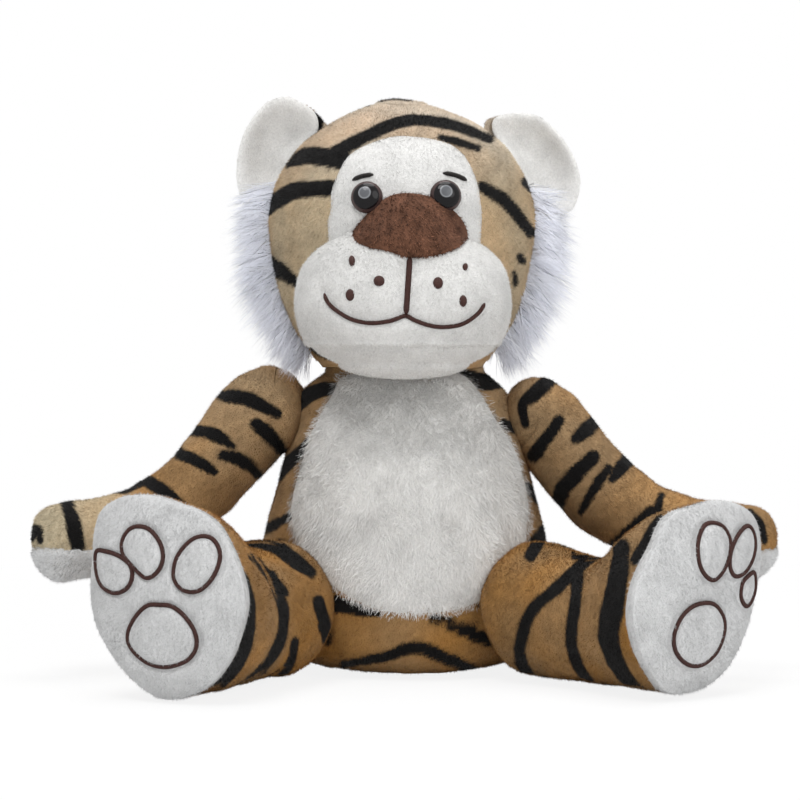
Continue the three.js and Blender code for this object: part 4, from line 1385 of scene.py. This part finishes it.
def ear_shell(outline, hollow, front, back, rings=36, sides=120):
    """A shell inside an outline. At share r from the hollow to the outline its two faces lie at the
    depths front(r) and back(r)."""
    ring = closed_ring(outline, sides)
    r = np.sin(np.linspace(0, np.pi / 2, rings))
    pixels = np.asarray(hollow, float) + r[:, None, None] * (ring - hollow)
    faces = [on_plane(pixels, np.tile(depth(r)[:, None], sides)) for depth in (front, back)]
    return facing_out(Form(np.concatenate([faces[0], faces[1][::-1]])))


class TIGER_OT_ears(TigerOperator, bpy.types.Operator):
    """Builds the ears, each a striped back with a cupped white lining"""
    bl_idname = "tiger.ears"
    bl_label = "Ears"

    def execute(self, context):
        for k, side in enumerate(("left", "right")):
            root = pivot(side + "_ear_flop")
            out = np.array([EAR_LEAN[0] * (1 - 2 * k), 0, EAR_LEAN[1]])
            bend = [root + far * out for far in EAR_BEND]
            depth = root[1] + 1.0
            dish = lambda r: depth + 8.6 * (1 - r ** 2) - 2.2 * np.exp(-((r - 0.88) / 0.3) ** 2)
            lining = ear_shell(EAR_EDGES[side], EAR_HOLLOWS[side], lambda r: dish(r) - 0.9 + 2.4 * r ** 9,
                               lambda r: dish(r) + 0.9 + 1.0 * r ** 9)
            back = ear_shell(EAR_BACK_EDGES[side], EAR_HOLLOWS[side], lambda r: dish(r) + 1.3 + 1.3 * r ** 9,
                             lambda r: depth + 3.4 + 9.2 * (1 - r ** 2.6) ** 0.8)
            name = side + "_ear"
            piece = dress("ear_back_coat_" + side, back, striped(EAR_BACK_STRIPES[side]), short_pile(70 + k))
            settle(piece, name, ("ear_back_" + side,), plush(), bend)
            pile = short_pile(72 + k, nap=(0, 0, -1), reach=1.2, width=0.27, lean=70)
            # Painted light: the linings' white is 1.16 times the white, as the inside of the ears is lit.
            piece = dress("ear_lining_pile_" + side, lining, plain(coat().white, 1.16), pile)
            settle(piece, name, ("ear_lining_" + side,), plush(), bend)
        return {"FINISHED"}


class TIGER_OT_ruffs(TigerOperator, bpy.types.Operator):
    """Grows the long bluish white fur on both cheeks, lock by lock"""
    bl_idname = "tiger.ruffs"
    bl_label = "Cheek fur"

    def execute(self, context):
        # Roots lie on the sides of the head. A lock points out and down, and the lower its root, the
        # more it hangs and the less it stands out, more so on the left cheek.
        head = head_form()
        tree = head.tree()
        count, strands = ((300, 27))
        for sign, side, drawn_in in ((1, "left", 0.64), (-1, "right", 0.42)):
            draw = np.random.default_rng(80 + sign)
            height = draw.uniform(131, 203, count)
            deep = draw.uniform(-10, 19, count)
            starts = np.stack([sign * np.interp(height, (128, 150), (42, 62)), deep, height], -1)
            found = [tree.find_nearest(Vector(start)) for start in starts]
            roots, ups = (np.array([tuple(hit[k]) for hit in found]) for k in (0, 1))
            low = np.clip((170 - roots[:, 2]) / 40, -0.8, 1)
            narrow = 0.95 - drawn_in * np.maximum(low, 0)
            aim = unit(np.stack([sign * narrow, -0.20 + 0.03 * deep, -0.42 - 0.50 * low], -1)
                       + 0.25 * draw.normal(size=(count, 3)))
            reach = coat().ruff_pile / MM * draw.uniform(0.66, 1.26, count) * (1 - 0.26 * np.abs(low))
            points, tris, shade, tip = locks(roots, ups, aim, reach, 82 + sign, strands)
            per = strands * LOCK_POINTS
            shade = 0.035 * shade + 0.07 * np.repeat(draw.normal(size=count), per)
            # Painted shade: each strand is darker at its root, inside the fur, and lighter towards its tip.
            tint = np.asarray(coat().ruff) * (0.93 + 0.09 * tip + shade)[:, None]
            # The fur is lit as one soft surface that faces forward and up, each strand a little off.
            stray = np.repeat(draw.normal(size=(count * strands, 3)), LOCK_POINTS, axis=0)
            facing = unit(np.repeat(0.5 * ups + aim * 0.2 + [0, -0.9, 0.5], per, axis=0) + 0.22 * stray)
            base = ruff_base(head, sign)
            tris = np.vstack([tris, base.tris + len(points)])
            points = np.vstack([points, base.points])
            tint = np.vstack([tint, np.tile(np.asarray(coat().ruff), (len(base.points), 1))])
            facing = np.vstack([facing, unit(base.normals() + [0, -0.6, 0.3])])
            piece = mesh_piece("cheek_fur_" + side, points, tris, np.clip(tint, 0, 1), None, facing)
            settle(piece, "head", ("cheek_ruff_" + side,), long_fur())
            piece.visible_shadow = False  # Fine white hair lets light through to the hair behind it
        return {"FINISHED"}


def ruff_base(form, sign):
    """The white backing on which a cheek's fur grows, an upright oval with an uneven edge."""
    x, y, z = form.points.T
    oval = 1 - ((y - 3) / 9) ** 2 - ((z - 169) / 36) ** 4 + 0.15 * waves(form.points, 9, 79)
    return patch(form, np.clip(0.5 + np.minimum(oval, (x * sign - 30) / 8), 0, 1), 0.3)


def patch(form, share, lift, depth=1.8):
    """A panel cut out of a form where share is above a half. Its face stands off by the lift times
    how far share is above a half, its back lies deeper, and its edge is closed."""
    inside = share > 0.5
    tris = form.tris[inside[form.tris].all(1)]
    chart = form.tri_uv[inside[form.tris].all(1)]
    used, flat = np.unique(tris, return_inverse=True)
    tris = flat.reshape(-1, 3)
    normals = form.normals()[used]
    height = lift * np.clip((share[used] - 0.5) * 4, -0.4, 1)
    front = form.points[used] + normals * height[:, None]
    back = form.points[used] - normals * depth
    edges = np.concatenate([tris[:, [0, 1]], tris[:, [1, 2]], tris[:, [2, 0]]])
    key = edges[:, 0] * len(used) + edges[:, 1]
    twin = edges[:, 1] * len(used) + edges[:, 0]
    rim = edges[~np.isin(key, twin)]
    shift = len(used)
    walls = np.concatenate([np.stack([rim[:, 1], rim[:, 0], rim[:, 0] + shift], -1),
                            np.stack([rim[:, 1], rim[:, 0] + shift, rim[:, 1] + shift], -1)])
    return loose_form(np.vstack([front, back]), np.vstack([tris, tris[:, ::-1] + shift, walls]),
                      np.concatenate([chart, chart[:, ::-1], np.zeros((len(walls), 3, 2))]))


class TIGER_OT_arms(TigerOperator, bpy.types.Operator):
    """Builds the arms, each a striped sleeve with a white palm under the paw"""
    bl_idname = "tiger.arms"
    bl_label = "Arms"

    def execute(self, context):
        for sign, side, strokes in ((1, "left", LEFT_ARM_STRIPES), (-1, "right", RIGHT_ARM_STRIPES)):
            form = arm_form(sign)
            pile = short_pile(90 + sign, nap=(sign * 0.9, -0.2, -0.7))
            skin = dress("arm_coat_" + side, form, striped(strokes), pile)
            settle(skin, side + "_arm", ("arm_" + side,), plush())
            # The palm is what lies below its seam and beyond its inner end, with a soft edge.
            low, high = box("palm_" + side)
            seam = high[2] + 0.5 + 0.8 * waves(form.points, 24, 91)
            reach = np.abs(form.points[:, 0]) - min(abs(low[0]), abs(high[0]))
            share = 0.5 + np.minimum(seam - form.points[:, 2], reach + 2) / 12
            palm = patch(form, np.clip(share, 0, 1), 1.2)
            pile = short_pile(94 + sign, nap=(sign, 0, -0.3), reach=1.6, width=0.26)
            piece = dress("palm_pile_" + side, palm, plain(coat().white, PAW_PAINTED_SHADE), pile)
            settle(piece, side + "_arm", ("palm_" + side,), plush())
        return {"FINISHED"}


RIGHT_LEG_STRIPES = [
    [(235, 570, 2), (244, 580, 4), (249, 605, 4.5), (248, 634, 5), (239, 661, 5.5), (218, 684, 5.5),
     (194, 703, 5)],
    [(251, 556, 2), (270, 577, 3), (281, 602, 4), (284, 621, 4.5), (277, 648, 4), (257, 674, 3.5),
     (230, 697, 3.5)],
    [(295, 641, 2.5), (291, 661, 3), (276, 683, 2.5)],
    [(272, 573, 2), (283, 593, 4)],
    [(249, 541, 5), (275, 546, 6), (296, 562, 6), (312, 573, 4)],
    [(318, 600, 4), (324, 622, 5), (327, 642, 3)],
]
LEFT_LEG_STRIPES = [
    [(622, 547, 7), (618, 580, 9), (612, 611, 10), (609, 640, 9), (620, 669, 7), (640, 692, 4)],
    [(594, 556, 3), (579, 571, 4.5), (576, 598, 4.5), (571, 637, 4.5), (577, 664, 4.5), (594, 690, 3)],
    [(586, 561, 5), (556, 589, 5), (533, 609, 5), (522, 636, 5), (520, 658, 4.5), (533, 682, 4.5),
     (542, 688, 3)],
    [(575, 555, 3), (596, 557, 3)],
    [(661, 520, 4), (652, 532, 5), (636, 560, 4)],
    [(548, 527, 5), (530, 556, 5)],
]
RIGHT_LEG_RINGS = [(66, 2.3, 1.6, 0.7, 4), (52, 2.6, 1.9, 0.75, -3), (38, 2.0, 1.4, 0.6, 3),
                   (23, 2.6, 1.8, 0.8, -3), (6, 2.4, 1.5, 0.7, 2)]
LEFT_LEG_RINGS = [(68, 2.5, -1.7, 0.7, -4), (54, 2.2, -1.4, 0.7, 3), (39, 2.8, -1.9, 0.75, -3),
                  (24, 2.2, -1.5, 0.65, 3), (7, 2.5, -1.7, 0.7, -2)]


def leg_paint(sign, strokes, rings):
    """Stripes as photographed on the sides that the camera sees, and rings on those that it doesn't."""
    hip, way = leg_way(sign)
    toward = unit(camera_axes()[0] - hip)
    seen, hidden = striped(strokes), ringed(hip, way, rings, 45 + sign)

    def paint(points, normals, jitter):
        turned = np.clip((normals @ toward - 0.12) * 12, 0, 1)[:, None]
        return seen(points, normals, jitter) * turned + hidden(points, normals, jitter) * (1 - turned)
    return paint


class TIGER_OT_legs(TigerOperator, bpy.types.Operator):
    """Builds the legs, each a striped skin with a white sole and its stitched toes"""
    bl_idname = "tiger.legs"
    bl_label = "Legs"

    def execute(self, context):
        data = ((1, "left", LEFT_LEG_STRIPES, LEFT_LEG_RINGS, LEFT_TOES),
                (-1, "right", RIGHT_LEG_STRIPES, RIGHT_LEG_RINGS, RIGHT_TOES))
        for sign, side, strokes, rings, toes in data:
            body = side + "_leg"
            hip, way = leg_way(sign)
            short = lambda root, up: off_floor(root, up) * ((root - hip) @ way < LEG_LENGTH - 7)
            skin = dress("leg_coat_" + side, leg_form(sign), leg_paint(sign, strokes, rings),
                         short_pile(100 + sign, nap=tuple(way * 0.25 + [0, 0, -0.8])), short)
            settle(skin, body, ("leg_" + side,), plush())
            outlines = [wide(closed_ring(toe, 60), 2) for toe in toes]

            def quilted(pixels):
                inside = sum(inside_share(pixels, toe, 3) for toe in toes)
                return 0.8 * inside - 1.1 * crease(pixels, outlines, 4)

            def clear(root, up):
                return np.clip(nearest(to_pixels(root), outlines) + 0.5, 0, 1) * off_floor(root, up)

            sole = sole_form(sign, quilted)
            pile = short_pile(104 + sign, nap=(0, 0, -1), reach=1.5, width=0.27, lean=60)
            piece = dress("sole_pile_" + side, sole, plain(coat().white, PAW_PAINTED_SHADE), pile, clear)
            settle(piece, body, ("sole_" + side,), plush())
            width = thread().thickness / MM
            lines = [stitch_line(sole.tree(), toe, width, closed=True) for toe in toes]
            embroider("toe_stitches_" + side, lines, thread().thread, body)
        return {"FINISHED"}


def embroider(name, forms, tint, body):
    """One piece of thread work of several stitched forms, on a body."""
    points, tris, chart = joined(forms)
    piece = mesh_piece(name, points, tris, np.tile(np.asarray(tint), (len(points), 1)), chart)
    settle(piece, body, (), floss())


class TIGER_OT_stitches(TigerOperator, bpy.types.Operator):
    """Stitches the mouth, the line under the nose, the muzzle's dots and the brows"""
    bl_idname = "tiger.stitches"
    bl_label = "Face stitches"

    def execute(self, context):
        muzzle, face = muzzle_form().tree(), face_panel_form(head_form()).tree()
        width = thread().thickness / MM
        lines = [stitch_line(muzzle, MOUTH, width, height=1.2),
                 stitch_line(muzzle, PHILTRUM, width * 1.35, height=1.3)]
        embroider("mouth_stitches", lines, thread().thread, "head")
        dots = [stitch_dot(muzzle, (x, y), across * 1.25, tall * 1.2) for x, y, across, tall in DOTS]
        embroider("whisker_dots", dots, thread().thread, "head")
        brows = [stitch_line(face, brow, width * 1.05, height=1.5) for brow in BROWS]
        embroider("brow_stitches", brows, thread().brow, "head")
        return {"FINISHED"}


class TIGER_OT_tail(TigerOperator, bpy.types.Operator):
    """Builds the ringed tail and its black tip"""
    bl_idname = "tiger.tail"
    bl_label = "Tail"

    def execute(self, context):
        rings = [(8, 2.5, 0.5, 1.6, 1), (23, 2.8, 2.4, 1.8, -1), (38, 2.6, 0.2, 1.7, 1.5)]
        paint = ringed(pivot("tail_swing"), (0, 1, 0), rings, 47)
        skin = dress("tail_coat", tail_form(0, 0, 0.76), paint, short_pile(110, nap=(0, 1, -0.2)), off_floor)
        settle(skin, "tail", ("tail_skin",), plush())
        tip = dress("tail_tip_coat", tail_form(-0.4, 0.74, 1), plain(coat().stripe),
                    short_pile(111, nap=(0, 1, 0.1), reach=2.6), off_floor)
        settle(tip, "tail", ("tail_tip",), plush())
        return {"FINISHED"}


class TIGER_OT_fillings(TigerOperator, bpy.types.Operator):
    """Builds the loose fibre inside every skin and the bean bag in the seat"""
    bl_idname = "tiger.fillings"
    bl_label = "Fillings"

    def execute(self, context):
        inset, torso_inset, tail_inset, neck_room = 4.0, 5.5, 2.8, 6.0
        dent, dent_width = 6.0, 22
        head = head_form(inset)
        for ear in ("left_ear_flop", "right_ear_flop"):
            away = np.linalg.norm(head.points - pivot(ear), axis=1)
            head.push(-dent * np.exp(-(away / dent_width) ** 2))
        fillings = [("torso", torso_form(torso_inset), "torso", "torso_stuffing"),
                    ("head", clear_of_neck(head, neck_room), "head", "head_stuffing"),
                    ("muzzle", clear_of_neck(muzzle_form(inset), neck_room), "head", "muzzle_stuffing"),
                    ("tail", tail_form(tail_inset), "tail", "tail_stuffing")]
        for sign, side in SIDES.items():
            fillings += [("arm_" + side, arm_form(sign, inset), side + "_arm", "arm_stuffing_" + side),
                         ("leg_" + side, leg_form(sign, inset), side + "_leg", "leg_stuffing_" + side)]
        for name, form, body, node in fillings:
            form = coarse(form)
            form.push(0.5 * waves(form.points, 8, 121))
            piece = mesh_piece(name + "_fibre", form.points, form.tris, None, form.tri_uv)
            settle(piece, body, (node,), fibre())
        low, high = box("seat_bean_bag")
        middle, half = (low + high) / 2, (high - low) / 2
        g = np.linspace(0, np.pi, 40)
        bag = revolved(np.zeros(3), (0, 0, 1), [(math.sin(x), math.cos(x)) for x in g], 90)
        bag.points = middle + bag.points * half
        bag.push(0.5 * waves(bag.points, 7, 122) - 0.6)
        piece = mesh_piece("bean_bag_cloth", bag.points, bag.tris, None, bag.tri_uv)
        settle(piece, "torso", ("seat_bean_bag",), cotton())
        return {"FINISHED"}


# Stage

SHADOW_NEAR, SHADOW_FAR = 0.15, 0.55  # metres from the tiger's middle over which its shadow fades
WHITE_SHARE = 0.86  # share of plain white in the floor close to the tiger


def plain_surface(name, points, tint):
    """A pale surface that the camera and reflections see as plain white, mixed close to the tiger with
    the surface as it is lit, so that it keeps the tiger's shadow."""
    mesh = bpy.data.meshes.new(name)
    quads = [(k, k + 1, k + 3, k + 2) for k in range(0, len(points) - 2, 2)]
    mesh.from_pydata([tuple(p) for p in points], [], quads)
    mesh.update()
    for face in mesh.polygons:
        face.use_smooth = True
    surface = bpy.data.objects.new(name, mesh)
    bpy.context.scene.collection.objects.link(surface)
    made = bpy.data.materials.new(name)
    made.use_nodes = True
    tree = made.node_tree
    shader = tree.nodes["Principled BSDF"]
    shader.inputs["Base Color"].default_value = (*tint, 1)
    shader.inputs["Roughness"].default_value = 1.0
    shader.inputs["Specular IOR Level"].default_value = 0.0
    white = add_node(tree, "ShaderNodeEmission", {"Color": (1, 1, 1, 1), "Strength": 1.0})
    rays = add_node(tree, "ShaderNodeLightPath")
    place = add_node(tree, "ShaderNodeTexCoord")
    away = add_node(tree, "ShaderNodeVectorMath", operation="LENGTH")
    share = add_node(tree, "ShaderNodeMapRange", {"From Min": SHADOW_NEAR, "From Max": SHADOW_FAR,
                                                  "To Min": WHITE_SHARE, "To Max": 1.0})
    seen = add_node(tree, "ShaderNodeMath", operation="MAXIMUM")
    factor = add_node(tree, "ShaderNodeMath", operation="MULTIPLY")
    mix = add_node(tree, "ShaderNodeMixShader")
    connect(tree, (place.outputs["Object"], away.inputs[0]),
            (away.outputs["Value"], share.inputs["Value"]),
            (rays.outputs["Is Camera Ray"], seen.inputs[0]),
            (rays.outputs["Is Glossy Ray"], seen.inputs[1]),
            (seen.outputs[0], factor.inputs[0]),
            (share.outputs["Result"], factor.inputs[1]),
            (factor.outputs[0], mix.inputs["Fac"]),
            (shader.outputs[0], mix.inputs[1]),
            (white.outputs[0], mix.inputs[2]),
            (mix.outputs[0], tree.nodes["Material Output"].inputs["Surface"]))
    surface.data.materials.append(made)


ROOM_LIGHT = 0.34  # strength of the even light from all round


def soft_light(name, place, size, power):
    """A round white lamp that points at the tiger's middle."""
    lamp = bpy.data.lights.new(name, "AREA")
    lamp.shape, lamp.size, lamp.energy = "DISK", size, power
    light = bpy.data.objects.new(name, lamp)
    light.location = place
    light.rotation_euler = (Vector((0, 0, 0.1)) - Vector(place)).to_track_quat("-Z", "Y").to_euler()
    bpy.context.scene.collection.objects.link(light)


class TIGER_OT_stage(TigerOperator, bpy.types.Operator):
    """Sets the camera where the photograph was taken, with a pale floor and soft studio light"""
    bl_idname = "tiger.stage"
    bl_label = "Stage"

    def execute(self, context):
        scene = context.scene
        place, _, _, forward = camera_axes()
        lens = bpy.data.cameras.new("camera")
        lens.sensor_width = SENSOR
        lens.lens = stage().scale * stage().distance / MM * SENSOR / PHOTO
        lens.clip_end = 50  # beyond the backdrop, in metres
        camera = bpy.data.objects.new("camera", lens)
        camera.location = place * MM
        camera.rotation_euler = Vector(forward).to_track_quat("-Z", "Y").to_euler()
        scene.collection.objects.link(camera)
        scene.camera = camera
        reach, tall, flat, bend = 4.0, 3.0, 2.2, 0.8
        sweep = [(flat + bend * math.sin(a), bend * (1 - math.cos(a)))
                 for a in np.linspace(0, math.pi / 2, 14)]
        sweep = [(-reach, 0), *sweep, (flat + bend, tall)]
        points = [(x, y, z) for y, z in sweep for x in (-reach, reach)]
        plain_surface("backdrop", points, stage().floor)
        soft_light("key", (-0.45, -1.1, 1.95), 1.0, 20)
        soft_light("fill", (1.2, -1.4, 0.9), 1.4, 10)
        soft_light("top", (0.1, 0.1, 1.9), 1.4, 17)
        world = bpy.data.worlds.new("world")
        world.use_nodes = True
        tree = world.node_tree
        light = tree.nodes["Background"]
        light.inputs["Color"].default_value = (1, 1, 1, 1)
        light.inputs["Strength"].default_value = ROOM_LIGHT
        white = add_node(tree, "ShaderNodeBackground", {"Color": (1, 1, 1, 1), "Strength": 1.0})
        rays = add_node(tree, "ShaderNodeLightPath")
        seen = add_node(tree, "ShaderNodeMath", operation="MAXIMUM")
        mix = add_node(tree, "ShaderNodeMixShader")
        connect(tree, (rays.outputs["Is Camera Ray"], seen.inputs[0]),
                (rays.outputs["Is Glossy Ray"], seen.inputs[1]),
                (seen.outputs[0], mix.inputs["Fac"]),
                (light.outputs[0], mix.inputs[1]),
                (white.outputs[0], mix.inputs[2]),
                (mix.outputs[0], tree.nodes["World Output"].inputs["Surface"]))
        scene.world = world
        scene.view_settings.view_transform = "Standard"
        return {"FINISHED"}


class TIGER_PT_panel(bpy.types.Panel):
    """Lists the tiger's pieces and settings"""
    bl_idname = "TIGER_PT_panel"
    bl_label = "Plush Tiger"
    bl_space_type = "VIEW_3D"
    bl_region_type = "UI"
    bl_category = "Tiger"

    def draw(self, context):
        for settings in (context.scene.tiger_coat, context.scene.tiger_thread, context.scene.tiger_stage):
            for name in settings.bl_rna.properties.keys():
                if name not in ("rna_type", "name"):
                    self.layout.prop(settings, name)
        for operator in OPERATORS:
            self.layout.operator(operator.bl_idname)


OPERATORS = (TIGER_OT_torso, TIGER_OT_head, TIGER_OT_muzzle, TIGER_OT_nose, TIGER_OT_eyes,
             TIGER_OT_ears, TIGER_OT_ruffs, TIGER_OT_arms, TIGER_OT_legs, TIGER_OT_stitches,
             TIGER_OT_tail, TIGER_OT_fillings, TIGER_OT_stage)
SETTINGS = {"tiger_coat": TigerCoat, "tiger_thread": TigerThread, "tiger_stage": TigerStage}


def register():
    """Adds the tiger's settings, operators and panel to Blender."""
    for kind in (*SETTINGS.values(), *OPERATORS, TIGER_PT_panel):
        bpy.utils.register_class(kind)
    for name, kind in SETTINGS.items():
        setattr(bpy.types.Scene, name, bpy.props.PointerProperty(type=kind))


def unregister():
    """Takes them away again."""
    for name in SETTINGS:
        delattr(bpy.types.Scene, name)
    for kind in reversed((*SETTINGS.values(), *OPERATORS, TIGER_PT_panel)):
        bpy.utils.unregister_class(kind)


def main():
    """Builds every piece in order."""
    register()
    for operator in OPERATORS:
        getattr(bpy.ops.tiger, operator.bl_idname.split(".")[1])()


if __name__ == "__main__":
    main()
